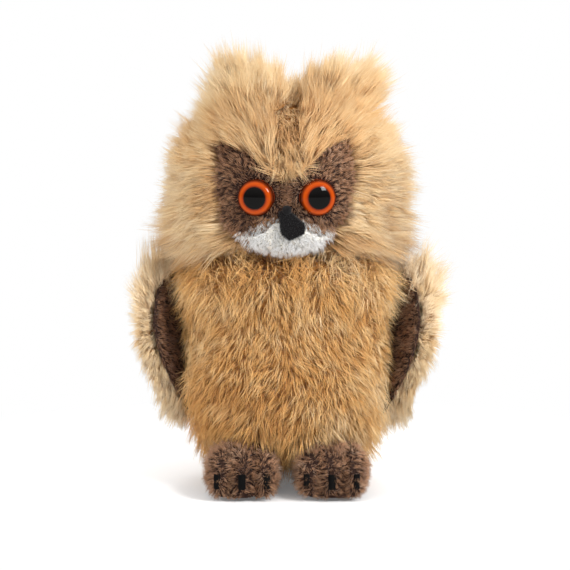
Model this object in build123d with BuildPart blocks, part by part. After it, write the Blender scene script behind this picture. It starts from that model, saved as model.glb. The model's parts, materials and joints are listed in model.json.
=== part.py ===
"""Plush owl with a motor-driven head and wings: one sub-part per section, in millimetres.

The owl stands on its soles at z = 0 with its face towards -Y and +Z up.
"""
from build123d import *
import math
import os

os.makedirs("parts", exist_ok=True)

# ---------------------------------------------------------------- driving dimensions
# Soft outer forms (surfaces of revolution about Z, at the mean height of the pile)
body_radius = 45.0
body_bottom = 14.0
body_top = 105.0
belly_low = 58.0            # the belly keeps its full radius from here
belly_high = 84.0           # up to here
belly_round = 19.0          # how far the bottom edge draws in
shoulder_round = 11.0       # how far the shoulder draws in
head_radius = 48.0
head_gap = 2.0              # between the top of the body and the chin
head_height = 71.0
head_edge = 17.0            # radius of the lower edge of the head
head_crown = 44.0           # height of the domed crown
skin = 2.5                  # fabric with its pile backing
patch_thickness = 1.8       # sewn-on face patches
soft_gap = 0.3              # clearance around what is packed in the filling

# Feet and tail
foot_width = 34.0
foot_height = 24.0
foot_front = -56.0
foot_back = -18.0
foot_x = 19.5
foot_corner = 12.0
foot_roll = 9.0
claw_radius = 1.6
claw_length = 6.5
claw_low = 6.0
tail_width = 30.0
tail_reach = claw_radius - foot_front    # as far behind the axis as the claws are in front
tail_height = 42.0

# Wings
wing_height = 68.0
wing_front = 24.0
wing_back = 18.5
wing_thickness = 9.0
wing_stand_off = 6.0        # between the body and the wing's inner face
wing_centre_z = 62.0
wing_toe_out = 20.0         # degrees the front edge stands out from the body
wing_lean = 6.0             # degrees the top stands out further than the tip
lining_thickness = 1.4
lining_inset = 1.5

# Gears
module = 1.0
pressure_angle = math.radians(25)
addendum = 0.9
dedendum = 1.15
backlash = 0.26
flank_steps = 4
wing_teeth = 14
idler_teeth = 26
pinion_teeth = 12
neck_teeth = 24
gear_width = 4.0
gear_front_y = -4.0

# Shafts, pins and fits
pin_radius = 1.5
running_clearance = 0.05
boss_radius = 3.0
boss_gap = 0.3
hub_radius = 4.0
stub_radius = 1.2

# Wing levers
wing_pivot_x = 29.0
wing_pivot_z = 92.0
wing_swing = 35.0
lever_width = 4.0
sector_low = -85.0         # the toothed part of the wing gear, from the inward horizontal
sector_high = 42.0
lever_knee_z = 88.0
lever_tip_z = 58.0
pocket_gap = 0.25

# Mechanism case
wall = 2.0
case_half_x = 27.0
case_front = -20.0
access_room = 4.2           # behind the power pack, for the door screw and the switch
case_bottom = 22.0
case_roof = 72.0
case_corner = 4.0
arms_half_x = 35.0
arms_half_y = 13.0
arms_floor = 62.0
case_top = 100.0
screw_radius = 1.2
screw_head_radius = 2.2
screw_head = 1.2
screw_boss = 2.3
screw_lift = 2.9            # from the power pack to the lower case screws

# Power pack: three standard 10.5 mm x 44.5 mm cells side by side
cell_radius = 5.25
cell_length = 44.5
cell_nub = 1.0
cell_nub_radius = 1.9
cell_gap = 0.3              # between neighbouring cells
cell_lift = 0.4
tray_top_gap = 0.4
tray_wall = 1.2
contact_size = 8.0
contact_thickness = 0.4
door_thickness = 1.5
door_tab = 10.0
door_boss = 1.9
access_x = 12.0             # door screw on one side, power switch on the other

# Small working parts
speaker_radius = 15.0
speaker_x = 9.0
speaker_lift = 1.5          # from the power pack to the speaker's rim
speaker_depth = 8.0
magnet_radius = 8.0
cone_depth = 3.0
speaker_ring = 1.5
ring_depth = 5.0
grille_slot = 2.0
grille_pitch = 4.5
grille_slots = 5
board_thickness = 1.6
board_y = -8.0              # front face of the circuit board
board_left = -24.5
board_right = 4.0
board_low = 42.0
board_high = 69.0
board_posts = ((-21.0, 45.5), (-21.0, 65.5), (0.5, 67.0))
post_radius = 2.2
post_pin = 1.0
touch_size = 6.0
touch_height = 3.5
button_x = -12.0
button_z = 57.0
button_radius = 7.0
button_thickness = 2.0
button_stand = 5.0          # from the case to the back of the cap
button_travel = 2.0
button_stem = 2.0
button_collar = 3.2
collar_thickness = 1.0
guide_radius = 4.5
guide_length = 3.0
spring_radius = 3.2
spring_wire = 0.4
spring_turns = 3
switch_length = 11.0
switch_height = 5.0
knob_length = 3.0
knob_width = 2.4
knob_proud = 2.5
switch_travel = 3.0
motor_width = 12.0
motor_height = 10.0
flap_thickness = 1.5
flap_overlap = 2.0
opening_half_x = 25.0
opening_front = -15.0
opening_margin = 1.0        # the base opening ends this far short of the case's back

# Neck
post_outer = 6.0
post_bore = 3.5
collar_radius = 7.5
collar_top_gap = 0.2
flange_radius = 12.0
flange_thickness = 2.0
bush_wall = 1.95
bush_flange = 0.8
bush_lip = 0.8              # how far a bush's flange stands out from its barrel
cup_radius = 30.0
cup_wall = 2.0
cup_floor = 2.5
neck_room = 1.0             # above and below the neck gear
deck_thickness = 2.0
head_screw_circle = 25.8
clip_thickness = 1.0
clip_radius = 8.5
clip_groove = 1.0
clip_mouth = 6.0
post_end = 2.5              # post above the clip
head_motor_height = 22.0

# Face
eye_x = 13.3
eye_z = 132.0
eye_radius = 8.0
eye_tilt = 12.0
eye_sink = 1.0
iris_thickness = 2.2
pupil_radius = 5.2
pupil_thickness = 0.6
lens_height = 4.2
shank_radius = 2.2
shank_length = 13.0
washer_radius = 7.0
washer_thickness = 1.2
washer_depth = 5.0
patch_x = 16.0
patch_z = 134.5
patch_half_width = 12.5
patch_half_height = 18.5
muzzle_half_width = 17.5
muzzle_radius = 9.3
muzzle_sink = 6.0           # the muzzle's centre lies this far inside the head's surface
beak_half_width = 5.5
beak_top = 129.0
beak_tip = 114.0
beak_reach = 8.0
tuft_sections = (           # height, centre x, centre y, half width, half depth
    (146.0, 17.0, -31.0, 12.0, 8.0),
    (172.0, 23.0, -25.0, 17.0, 8.5),
    (188.0, 29.0, -22.0, 13.0, 6.5),
    (198.0, 34.0, -20.0, 4.0, 2.5),
)

# ---------------------------------------------------------------- derived places
head_bottom = body_top + head_gap
idler_x = module * idler_teeth / 2
gear_distance = module * (wing_teeth + idler_teeth) / 2
idler_z = wing_pivot_z - math.sqrt(gear_distance**2 - (wing_pivot_x - idler_x) ** 2)
gear_back_y = gear_front_y + gear_width
lever_front_y = gear_back_y + 1.0
lever_back_y = lever_front_y + lever_width
motor_z = idler_z - module * (idler_teeth + pinion_teeth) / 2
inner_front = case_front + wall
inner_half_x = case_half_x - wall
inner_arms_x = arms_half_x - wall
inner_arms_y = arms_half_y - wall
cell_pitch = 2 * cell_radius + cell_gap
cell_z = case_bottom + cell_lift + cell_radius
cell_middle_y = inner_front + cell_lift + cell_radius + cell_pitch - 0.2
tray_back = cell_middle_y + cell_pitch + cell_radius + soft_gap + tray_wall
tray_low = case_bottom
tray_high = cell_z + cell_radius + tray_top_gap + tray_wall
inner_back = tray_back + access_room
case_back = inner_back + wall
opening_back = case_back - opening_margin
speaker_z = tray_high + speaker_lift + speaker_radius
case_screw_places = ((-30.5, 67.0), (30.5, 67.0), (0.0, 93.0),
                     (-23.3, tray_high + screw_lift), (23.3, tray_high + screw_lift))
access_y = (tray_back + inner_back) / 2
collar_top = head_bottom + skin - bush_flange - collar_top_gap
cup_low = head_bottom + skin
cup_inside = cup_low + cup_floor
neck_gear_low = cup_inside + neck_room
deck_low = neck_gear_low + gear_width + neck_room
deck_high = deck_low + deck_thickness
clip_low = deck_high + bush_flange + collar_top_gap
head_pinion_y = module * (neck_teeth + pinion_teeth) / 2
bush_radius = post_outer + running_clearance + bush_wall
bush_flange_radius = bush_radius + bush_lip
muzzle_y = muzzle_sink - head_radius
button_back_y = case_front - button_stand


def at_y(y):
    """Plane seen from the front: local x is X, local y is Z, and it extrudes towards -Y."""
    return Plane.XZ.offset(-y)


def save(piece, label):
    """Label a finished piece and write it as its own file."""
    piece.part.label = label
    export_step(piece.part, f"parts/{label}.step")


# ---------------------------------------------------------------- soft forms
def body_form(grow):
    """Barrel of the body, with its outline moved out by grow."""
    radius = body_radius + grow
    low = belly_low - (body_bottom - grow)
    high = body_top + grow - belly_high
    with BuildPart() as form:
        with BuildSketch(Plane.XZ):
            with BuildLine():
                base = Line((0, body_bottom - grow), (body_radius - belly_round, body_bottom - grow))
                belly = EllipticalCenterArc((body_radius - belly_round, belly_low),
                                            belly_round + grow, low, start_angle=270, arc_size=90)
                side = Line((radius, belly_low), (radius, belly_high))
                shoulder = EllipticalCenterArc((body_radius - shoulder_round, belly_high),
                                               shoulder_round + grow, high, start_angle=0, arc_size=90)
                top = Line((body_radius - shoulder_round, body_top + grow), (0, body_top + grow))
                axis = Line((0, body_top + grow), (0, body_bottom - grow))
            make_face()
        revolve(axis=Axis.Z)
    return form.part


def head_form(grow):
    """Head with a rounded lower edge and a domed crown, with its outline moved out by grow."""
    radius = head_radius + grow
    crown_z = head_bottom + head_height - head_crown
    with BuildPart() as form:
        with BuildSketch(Plane.XZ):
            with BuildLine():
                base = Line((0, head_bottom - grow), (head_radius - head_edge, head_bottom - grow))
                edge = CenterArc((head_radius - head_edge, head_bottom + head_edge),
                                 head_edge + grow, -90, 90)
                cheek = Line((radius, head_bottom + head_edge), (radius, crown_z))
                half_turn = math.sqrt(0.5)
                crown = Spline((radius, crown_z),
                               (half_turn * radius, crown_z + half_turn * (head_crown + grow)),
                               (0, crown_z + head_crown + grow), tangents=((0, 1), (-1, 0)))
                axis = Line((0, crown_z + head_crown + grow), (0, head_bottom - grow))
            make_face()
        revolve(axis=Axis.Z)
    return form.part


# ---------------------------------------------------------------- gears
def gear_outline(centre, teeth, phase):
    """Corners of a spur gear with involute flanks and one tooth centred at phase, in degrees."""
    pitch = module * teeth / 2
    base = pitch * math.cos(pressure_angle)
    outer = pitch + addendum * module
    root = pitch - dedendum * module
    start = max(base, root)
    half_pitch_tooth = (math.pi * module / 2 - backlash / 2) / 2 / pitch
    involute_at_pitch = math.tan(pressure_angle) - pressure_angle
    flank = []
    for step in range(flank_steps + 1):
        radius = start + (outer - start) * step / flank_steps
        turn = math.acos(min(1.0, base / radius))
        flank.append((radius, half_pitch_tooth + involute_at_pitch - (math.tan(turn) - turn)))
    corners = []
    for tooth in range(teeth):
        middle = math.radians(phase) + 2 * math.pi * tooth / teeth
        rising = [(root, flank[0][1])] + flank if start > root else flank
        outline = [(radius, -half) for radius, half in rising]
        outline += [(radius, half) for radius, half in reversed(rising)]
        for radius, half in outline:
            corners.append((centre[0] + radius * math.cos(middle + half),
                            centre[1] + radius * math.sin(middle + half)))
    return corners


def meshing_phase(phase, teeth, other_teeth, direction):
    """Phase of the gear that meshes, in the given direction, with a gear of the given phase."""
    return direction + 180 - (phase - direction) * teeth / other_teeth - 180 / other_teeth


to_idler = math.degrees(math.atan2(idler_z - wing_pivot_z, wing_pivot_x - idler_x))
left_wing_phase = to_idler
left_idler_phase = meshing_phase(left_wing_phase, wing_teeth, idler_teeth, to_idler)
right_idler_phase = meshing_phase(left_idler_phase, idler_teeth, idler_teeth, 0)
right_wing_phase = meshing_phase(right_idler_phase, idler_teeth, wing_teeth, -to_idler)
wing_pinion_phase = meshing_phase(right_idler_phase, idler_teeth, pinion_teeth, -90)
head_pinion_phase = meshing_phase(0, neck_teeth, pinion_teeth, 90)


# ---------------------------------------------------------------- wing shapes, left side
toe = math.radians(wing_toe_out)
lean = math.radians(wing_lean)
wing_origin_x = -(body_radius + wing_stand_off)
wing_outward = (-math.cos(toe) * math.cos(lean), math.sin(toe) * math.cos(lean), -math.sin(lean))
wing_plane = Plane(origin=(wing_origin_x, 0, wing_centre_z),
                   x_dir=(-math.sin(toe), -math.cos(toe), 0), z_dir=wing_outward)


def wing_middle_x(z):
    """X of the middle of the wing's padding, where the lever runs."""
    y = (lever_front_y + lever_back_y) / 2
    outward = Vector(wing_outward)
    face = wing_origin_x - (outward.Y * y + outward.Z * (z - wing_centre_z)) / outward.X
    return face + wing_thickness / 2 / outward.X


def wing_outline(inset):
    """Leaf-shaped outline of the wing, drawn in the wing's own plane."""
    half = wing_height / 2 - inset
    front = wing_front - inset
    back = wing_back - inset
    Spline((-0.3 * back, half), (0.75 * front, 0.7 * half), (front, 0.1 * half), (0.55 * front, -0.6 * half),
           (-0.1 * back, -half), (-0.7 * back, -0.5 * half), (-back, 0.15 * half), (-0.85 * back, 0.7 * half),
           periodic=True)


def strip(start, end, width):
    """Round-ended strip of the given width from start to end, added to the sketch."""
    along = Vector(*end) - Vector(*start)
    middle = (Vector(*end) + Vector(*start)) / 2
    with Locations((middle.X, middle.Y)):
        SlotOverall(along.length + width, width, rotation=math.degrees(math.atan2(along.Y, along.X)))


def lever_bar(grow):
    """Bent bar from the left pivot out to the knee and down inside the wing."""
    pivot = (-wing_pivot_x, wing_pivot_z)
    knee = (wing_middle_x(lever_knee_z), lever_knee_z)
    tip = (wing_middle_x(lever_tip_z), lever_tip_z)
    with BuildPart() as bar:
        with BuildSketch(at_y(lever_back_y + grow)):
            strip(pivot, knee, lever_width + 2 * grow)
            strip(knee, tip, lever_width + 2 * grow)
        extrude(amount=lever_width + 2 * grow)
    return bar.part


def sector_wedge(side):
    """Corners of the wedge of the wing gear that keeps its teeth."""
    corners = [(side * wing_pivot_x, wing_pivot_z)]
    for angle in (sector_low, (sector_low + sector_high) / 2, sector_high):
        reach = 2 * module * wing_teeth
        corners.append((side * (wing_pivot_x - reach * math.cos(math.radians(angle))),
                        wing_pivot_z + reach * math.sin(math.radians(angle))))
    return corners


def wing_solid(inset, start, thickness):
    """Slab with the wing's outline, from start to start + thickness along its outward normal."""
    with BuildPart() as slab:
        with BuildSketch(wing_plane.offset(start)):
            with BuildLine():
                wing_outline(inset)
            make_face()
        extrude(amount=thickness)
    return slab.part


# ---------------------------------------------------------------- mechanism case
def case_block(grow):
    """Outer block of the case, grown on every side."""
    depth = case_back - case_front
    with BuildPart() as block:
        with BuildSketch(Plane.XY.offset(case_bottom - grow)):
            with Locations((0, (case_back + case_front) / 2)):
                RectangleRounded(2 * (case_half_x + grow), depth + 2 * grow, case_corner)
        extrude(amount=case_roof - case_bottom + 2 * grow)
        with BuildSketch(Plane.XY.offset(arms_floor - grow)):
            RectangleRounded(2 * (arms_half_x + grow), 2 * (arms_half_y + grow), case_corner)
        extrude(amount=case_top - arms_floor + 2 * grow)
    return block.part


def lever_window():
    """Slots that let both levers swing, from the hubs out through the shoulders."""
    reach = body_radius + wing_stand_off - wing_pivot_x
    swing = math.radians(wing_swing)
    low = min(lever_knee_z, wing_pivot_z - reach * 0.2) - lever_width
    high = wing_pivot_z + (body_radius - wing_pivot_x) * math.sin(swing) + lever_width / 2
    outer = body_radius + wing_stand_off
    inner = wing_pivot_x + pin_radius
    with BuildPart() as window:
        with BuildSketch(at_y(lever_back_y + soft_gap)):
            for side in (-1, 1):
                with Locations((side * (outer + inner) / 2, (low + high) / 2)):
                    Rectangle(outer - inner, high - low)
        extrude(amount=lever_width + 2 * soft_gap)
    return window.part


# ================================================================ torso: case
with BuildPart() as case:
    add(case_block(0))
    with BuildSketch(Plane.XY.offset(case_bottom)):
        with Locations((0, (inner_back + inner_front) / 2)):
            Rectangle(2 * inner_half_x, inner_back - inner_front)
    extrude(amount=case_roof - wall - case_bottom, mode=Mode.SUBTRACT)
    with BuildSketch(Plane.XY.offset(arms_floor + wall)):
        Rectangle(2 * inner_arms_x, 2 * inner_arms_y)
    extrude(amount=case_top - arms_floor - 2 * wall, mode=Mode.SUBTRACT)
    # bottom strip behind the cells, with the switch slot and the door's screw boss
    with BuildSketch(Plane.XY.offset(case_bottom)):
        with Locations((0, (tray_back + soft_gap + inner_back) / 2)):
            Rectangle(2 * inner_half_x, inner_back - tray_back - soft_gap)
        with Locations((-access_x, access_y)):
            Rectangle(knob_length + switch_travel + 1, knob_width + 0.6, mode=Mode.SUBTRACT)
    extrude(amount=wall)
    with BuildSketch(Plane.XY.offset(case_bottom + wall)):
        with Locations((access_x, access_y)):
            Circle(door_boss)
    extrude(amount=2 * wall + 3)
    with Locations((access_x, access_y, case_bottom)):
        Cylinder(screw_radius, 2 * (3 * wall + 3), mode=Mode.SUBTRACT)
    # bosses for the gear pins, in front of the gears and behind them
    with BuildSketch(at_y(gear_front_y - boss_gap)):
        with Locations((-idler_x, idler_z), (idler_x, idler_z)):
            Circle(boss_radius)
        with Locations((-wing_pivot_x, wing_pivot_z), (wing_pivot_x, wing_pivot_z)):
            Circle(boss_radius)
    extrude(amount=inner_arms_y + gear_front_y - boss_gap)
    with BuildSketch(at_y(inner_arms_y)):
        with Locations((-idler_x, idler_z), (idler_x, idler_z)):
            Circle(boss_radius)
    extrude(amount=inner_arms_y - gear_back_y - boss_gap)
    with BuildSketch(at_y(inner_arms_y)):
        with Locations((-wing_pivot_x, wing_pivot_z), (wing_pivot_x, wing_pivot_z)):
            Circle(boss_radius)
    extrude(amount=inner_arms_y - lever_back_y - boss_gap)
    with BuildSketch(at_y(inner_arms_y)):
        with Locations((-idler_x, idler_z), (idler_x, idler_z),
                       (-wing_pivot_x, wing_pivot_z), (wing_pivot_x, wing_pivot_z)):
            Circle(pin_radius)
    extrude(amount=2 * inner_arms_y, mode=Mode.SUBTRACT)
    # screw bosses that run from front to back
    for screw_x, screw_z in case_screw_places:
        upper = screw_z > arms_floor + wall
        with BuildSketch(at_y(inner_arms_y if upper else inner_back)):
            with Locations((screw_x, screw_z)):
                Circle(screw_boss)
        extrude(amount=2 * inner_arms_y if upper else inner_back - inner_front)
        with BuildSketch(at_y(arms_half_y if upper else case_back)):
            with Locations((screw_x, screw_z)):
                Circle(screw_radius)
        extrude(amount=arms_half_y + inner_arms_y - 3 if upper else case_back - inner_front - 3,
                mode=Mode.SUBTRACT)
    # speaker seat and sound slots
    with BuildSketch(at_y(inner_front + ring_depth)):
        with Locations((speaker_x, speaker_z)):
            Circle(speaker_radius + speaker_ring)
            Circle(speaker_radius, mode=Mode.SUBTRACT)
    extrude(amount=ring_depth)
    with BuildSketch(at_y(inner_front)):
        for slot in range(grille_slots):
            offset_z = (slot - (grille_slots - 1) / 2) * grille_pitch
            half_chord = math.sqrt((speaker_radius - 3) ** 2 - offset_z**2)
            with Locations((speaker_x, speaker_z + offset_z)):
                SlotOverall(2 * half_chord, grille_slot)
    extrude(amount=wall, mode=Mode.SUBTRACT)
    # posts that carry the circuit board
    with BuildSketch(at_y(board_y)):
        with Locations(*board_posts):
            Circle(post_radius)
    extrude(amount=board_y - inner_front)
    with BuildSketch(at_y(board_y + board_thickness)):
        with Locations(*board_posts):
            Circle(post_pin)
    extrude(amount=board_thickness)
    # guide of the belly button
    with BuildSketch(at_y(inner_front + guide_length)):
        with Locations((button_x, button_z)):
            Circle(guide_radius)
    extrude(amount=guide_length)
    with BuildSketch(at_y(inner_front + guide_length)):
        with Locations((button_x, button_z)):
            Circle(button_stem + running_clearance)
    extrude(amount=guide_length + wall, mode=Mode.SUBTRACT)
    # wire hole under the neck, and the lever slots
    with Locations((0, 0, case_top)):
        Cylinder(post_bore, 3 * wall, mode=Mode.SUBTRACT)
    add(lever_window(), mode=Mode.SUBTRACT)

with BuildPart() as case_front_half:
    add(case.part)
    split(bisect_by=Plane.XZ, keep=Keep.TOP)
save(case_front_half, "case_front")

with BuildPart() as case_rear_half:
    add(case.part)
    split(bisect_by=Plane.XZ, keep=Keep.BOTTOM)
save(case_rear_half, "case_rear")

with BuildPart() as case_screws:
    for screw_x, screw_z in case_screw_places:
        upper = screw_z > arms_floor + wall
        back = arms_half_y if upper else case_back
        length = arms_half_y + inner_arms_y - 3 if upper else case_back - inner_front - 3
        with BuildSketch(at_y(back)):
            with Locations((screw_x, screw_z)):
                Circle(screw_radius)
        extrude(amount=length)
        with BuildSketch(at_y(back + screw_head)):
            with Locations((screw_x, screw_z)):
                Circle(screw_head_radius)
        extrude(amount=screw_head)
save(case_screws, "case_screws")

# ================================================================ torso: power pack
cell_rows = [cell_middle_y + step * cell_pitch for step in (-1, 0, 1)]

with BuildPart() as cells:
    for row, cell_y in enumerate(cell_rows):
        facing = 1 if row % 2 else -1
        can = cell_length - cell_nub
        with Locations(Location((-facing * cell_nub / 2, cell_y, cell_z), (0, 90, 0))):
            Cylinder(cell_radius, can)
        with Locations(Location((facing * (cell_length - cell_nub) / 2, cell_y, cell_z), (0, 90, 0))):
            Cylinder(cell_nub_radius, cell_nub)
save(cells, "battery_cells")

with BuildPart() as contacts:
    plate_x = inner_half_x - tray_wall - contact_thickness / 2
    bump = plate_x - contact_thickness / 2 - cell_length / 2
    for side in (-1, 1):
        for cell_y in cell_rows:
            with Locations((side * plate_x, cell_y, cell_z)):
                Box(contact_thickness, contact_size, contact_size)
            with Locations(Location((side * (cell_length + bump) / 2, cell_y, cell_z), (0, 90, 0))):
                Cylinder(cell_nub_radius, bump)
save(contacts, "battery_contacts")

with BuildPart() as tray:
    tray_front = inner_front
    with BuildSketch(Plane.XY.offset(tray_low)):
        with Locations((0, (tray_front + tray_back) / 2)):
            Rectangle(2 * inner_half_x, tray_back - tray_front)
    extrude(amount=tray_high - tray_low)
    with BuildSketch(Plane.XY.offset(tray_low)):
        with Locations((0, (tray_front + tray_back - tray_wall) / 2)):
            Rectangle(2 * (inner_half_x - tray_wall), tray_back - tray_wall - tray_front)
    extrude(amount=tray_high - tray_wall - tray_low, mode=Mode.SUBTRACT)
save(tray, "battery_tray")

with BuildPart() as door:
    with BuildSketch(Plane.XY.offset(case_bottom - door_thickness)):
        with Locations((0, (case_front + tray_back) / 2)):
            Rectangle(2 * (case_half_x - 2 * wall), tray_back - case_front)
        with Locations((access_x, (tray_back + case_back - wall) / 2)):
            Rectangle(door_tab, case_back - wall - tray_back)
        with Locations((access_x, access_y)):
            Circle(screw_radius, mode=Mode.SUBTRACT)
    extrude(amount=door_thickness)
save(door, "battery_door")

with BuildPart() as door_screw:
    with Locations((access_x, access_y, case_bottom - door_thickness)):
        Cylinder(screw_radius, 3 * wall, align=(Align.CENTER, Align.CENTER, Align.MIN))
    with Locations((access_x, access_y, case_bottom - door_thickness)):
        Cylinder(screw_head_radius, screw_head, align=(Align.CENTER, Align.CENTER, Align.MAX))
save(door_screw, "door_screw")

# ================================================================ torso: electrics
with BuildPart() as speaker:
    with BuildSketch(at_y(inner_front + cone_depth)):
        with Locations((speaker_x, speaker_z)):
            Circle(speaker_radius)
    extrude(amount=cone_depth)
    with BuildSketch(at_y(inner_front + speaker_depth)):
        with Locations((speaker_x, speaker_z)):
            Circle(magnet_radius)
    extrude(amount=speaker_depth - cone_depth)
save(speaker, "speaker")

with BuildPart() as board:
    with BuildSketch(at_y(board_y + board_thickness)):
        with Locations(((board_left + board_right) / 2, (board_low + board_high) / 2)):
            Rectangle(board_right - board_left, board_high - board_low)
        with Locations(*board_posts):
            Circle(post_pin, mode=Mode.SUBTRACT)
    extrude(amount=board_thickness)
    # sound chip and capacitor on the back face
    with BuildSketch(at_y(board_y + board_thickness + 1)):
        with Locations((board_left + 12, board_low + 10)):
            Rectangle(9, 9)
        with Locations((board_left + 20, board_low + 20)):
            Rectangle(5, 4)
    extrude(amount=1)
save(board, "circuit_board")

with BuildPart() as touch:
    with BuildSketch(at_y(board_y)):
        with Locations((button_x, button_z)):
            Rectangle(touch_size, touch_size)
    extrude(amount=touch_height)
save(touch, "touch_switch")

with BuildPart() as wing_motor:
    with BuildSketch(at_y(inner_back)):
        with Locations((idler_x, motor_z)):
            Rectangle(motor_width, motor_height)
    extrude(amount=inner_back - gear_back_y - 1)
    with BuildSketch(at_y(gear_back_y + 4)):
        with Locations((idler_x, motor_z)):
            Circle(stub_radius + running_clearance)
    extrude(amount=3, mode=Mode.SUBTRACT)
save(wing_motor, "wing_motor")

with BuildPart() as switch_body:
    with Locations((-access_x, access_y, case_bottom + wall)):
        Box(switch_length, inner_back - tray_back - soft_gap, switch_height,
            align=(Align.CENTER, Align.CENTER, Align.MIN))
        Box(knob_length + switch_travel + 1, knob_width + 0.6, knob_proud,
            align=(Align.CENTER, Align.CENTER, Align.MIN), mode=Mode.SUBTRACT)
save(switch_body, "switch_body")

with BuildPart() as switch_knob:
    knob_x = -access_x - switch_travel / 2
    with Locations((knob_x, access_y, case_bottom - knob_proud)):
        Box(knob_length, knob_width, knob_proud + wall + knob_proud - soft_gap,
            align=(Align.CENTER, Align.CENTER, Align.MIN))
save(switch_knob, "switch_knob")

# ================================================================ torso: pins and neck
with BuildPart() as gear_pins:
    with BuildSketch(at_y(inner_arms_y)):
        with Locations((-idler_x, idler_z), (idler_x, idler_z),
                       (-wing_pivot_x, wing_pivot_z), (wing_pivot_x, wing_pivot_z)):
            Circle(pin_radius)
    extrude(amount=2 * inner_arms_y)
save(gear_pins, "gear_pins")

with BuildPart() as neck_post:
    with Locations((0, 0, case_top)):
        Cylinder(flange_radius, flange_thickness, align=(Align.CENTER, Align.CENTER, Align.MIN))
        Cylinder(collar_radius, collar_top - case_top, align=(Align.CENTER, Align.CENTER, Align.MIN))
        Cylinder(post_outer, clip_low + clip_thickness + post_end - case_top,
                 align=(Align.CENTER, Align.CENTER, Align.MIN))
    with BuildSketch(Plane.XY.offset(clip_low)):
        Circle(post_outer)
        Circle(post_outer - clip_groove, mode=Mode.SUBTRACT)
    extrude(amount=clip_thickness, mode=Mode.SUBTRACT)
    with Locations((0, 0, case_top)):
        Cylinder(post_bore, 2 * (clip_low + post_end + 2 - case_top), mode=Mode.SUBTRACT)
save(neck_post, "neck_post")

with BuildPart() as neck_gear:
    with BuildSketch(Plane.XY.offset(neck_gear_low)):
        with BuildLine():
            Polyline(*gear_outline((0, 0), neck_teeth, 0), close=True)
        make_face()
        Circle(post_outer, mode=Mode.SUBTRACT)
    extrude(amount=gear_width)
save(neck_gear, "neck_gear")

with BuildPart() as neck_clip:
    with BuildSketch(Plane.XY.offset(clip_low)):
        Circle(clip_radius)
        Circle(post_outer - clip_groove, mode=Mode.SUBTRACT)
        with Locations((0, clip_radius)):
            Rectangle(clip_mouth, 2 * (clip_radius - 1), mode=Mode.SUBTRACT)
    extrude(amount=clip_thickness)
save(neck_clip, "neck_clip")

# ================================================================ torso: soft pieces
with BuildPart() as body_plush:
    add(body_form(0))
    add(body_form(-skin), mode=Mode.SUBTRACT)
    add(lever_window(), mode=Mode.SUBTRACT)
    with Locations((0, 0, body_top)):
        Cylinder(flange_radius, 2 * skin + 2, mode=Mode.SUBTRACT)
    with Locations((0, (opening_front + opening_back) / 2, body_bottom)):
        Box(2 * opening_half_x, opening_back - opening_front, 2 * skin + 2, mode=Mode.SUBTRACT)
save(body_plush, "body_plush")

with BuildPart() as stuffing:
    add(body_form(-skin))
    add(case_block(soft_gap), mode=Mode.SUBTRACT)
    add(lever_window(), mode=Mode.SUBTRACT)
    with Locations((0, 0, body_top)):
        Cylinder(flange_radius + soft_gap, 2 * (body_top - case_top), mode=Mode.SUBTRACT)
    with BuildSketch(Plane.XY.offset(body_bottom)):
        with Locations((0, (case_front + case_back) / 2)):
            RectangleRounded(2 * (case_half_x + soft_gap), case_back - case_front + 2 * soft_gap,
                             case_corner)
    extrude(amount=case_bottom - body_bottom, mode=Mode.SUBTRACT)
    with BuildSketch(at_y(case_front)):
        with Locations((button_x, button_z)):
            Circle(button_radius + soft_gap)
    extrude(amount=button_stand + button_thickness + soft_gap, mode=Mode.SUBTRACT)
    for screw_x, screw_z in case_screw_places:
        upper = screw_z > arms_floor + wall
        back = arms_half_y if upper else case_back
        with BuildSketch(at_y(back + screw_head + soft_gap)):
            with Locations((screw_x, screw_z)):
                Circle(screw_head_radius + soft_gap)
        extrude(amount=screw_head + 2 * soft_gap, mode=Mode.SUBTRACT)
save(stuffing, "body_stuffing")

with BuildPart() as base_flap:
    with BuildSketch(Plane.XY.offset(body_bottom - flap_thickness)):
        with Locations((0, (opening_front + opening_back) / 2)):
            RectangleRounded(2 * (opening_half_x + flap_overlap),
                             opening_back - opening_front + 2 * flap_overlap, case_corner)
    extrude(amount=flap_thickness)
save(base_flap, "base_flap")

with BuildPart() as left_foot:
    with Locations((-foot_x, (foot_front + foot_back) / 2, 0)):
        Box(foot_width, foot_back - foot_front, foot_height, align=(Align.CENTER, Align.CENTER, Align.MIN))
    fillet(left_foot.edges().filter_by(Axis.Z), foot_corner)
    fillet(left_foot.faces().sort_by(Axis.Z)[-1].edges(), foot_roll)
    add(body_form(0), mode=Mode.SUBTRACT)
save(left_foot, "left_foot")

with BuildPart() as left_claws:
    claw_places = (-foot_x - foot_width / 3.2, -foot_x, -foot_x + foot_width / 3.2)
    for claw_x in claw_places:
        inset = 0.0 if claw_x == -foot_x else foot_corner * 0.16
        with Locations((claw_x, foot_front + inset, claw_low)):
            Cylinder(claw_radius, claw_length, align=(Align.CENTER, Align.CENTER, Align.MIN))
    add(left_foot.part, mode=Mode.SUBTRACT)
save(left_claws, "left_claws")

with BuildPart() as right_foot:
    mirror(left_foot.part, about=Plane.YZ)
save(right_foot, "right_foot")

with BuildPart() as right_claws:
    mirror(left_claws.part, about=Plane.YZ)
save(right_claws, "right_claws")

with BuildPart() as tail:
    with BuildSketch(Plane.YZ.offset(-tail_width / 2)):
        with BuildLine():
            Polyline((body_radius - belly_round, body_bottom), (tail_reach - 9, 0), (tail_reach, 0),
                     (tail_reach, 6), (body_radius + 3, tail_height - 6), (body_radius - 6, tail_height),
                     close=True)
        make_face()
    extrude(amount=tail_width)
    add(body_form(0), mode=Mode.SUBTRACT)
save(tail, "tail")

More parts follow.
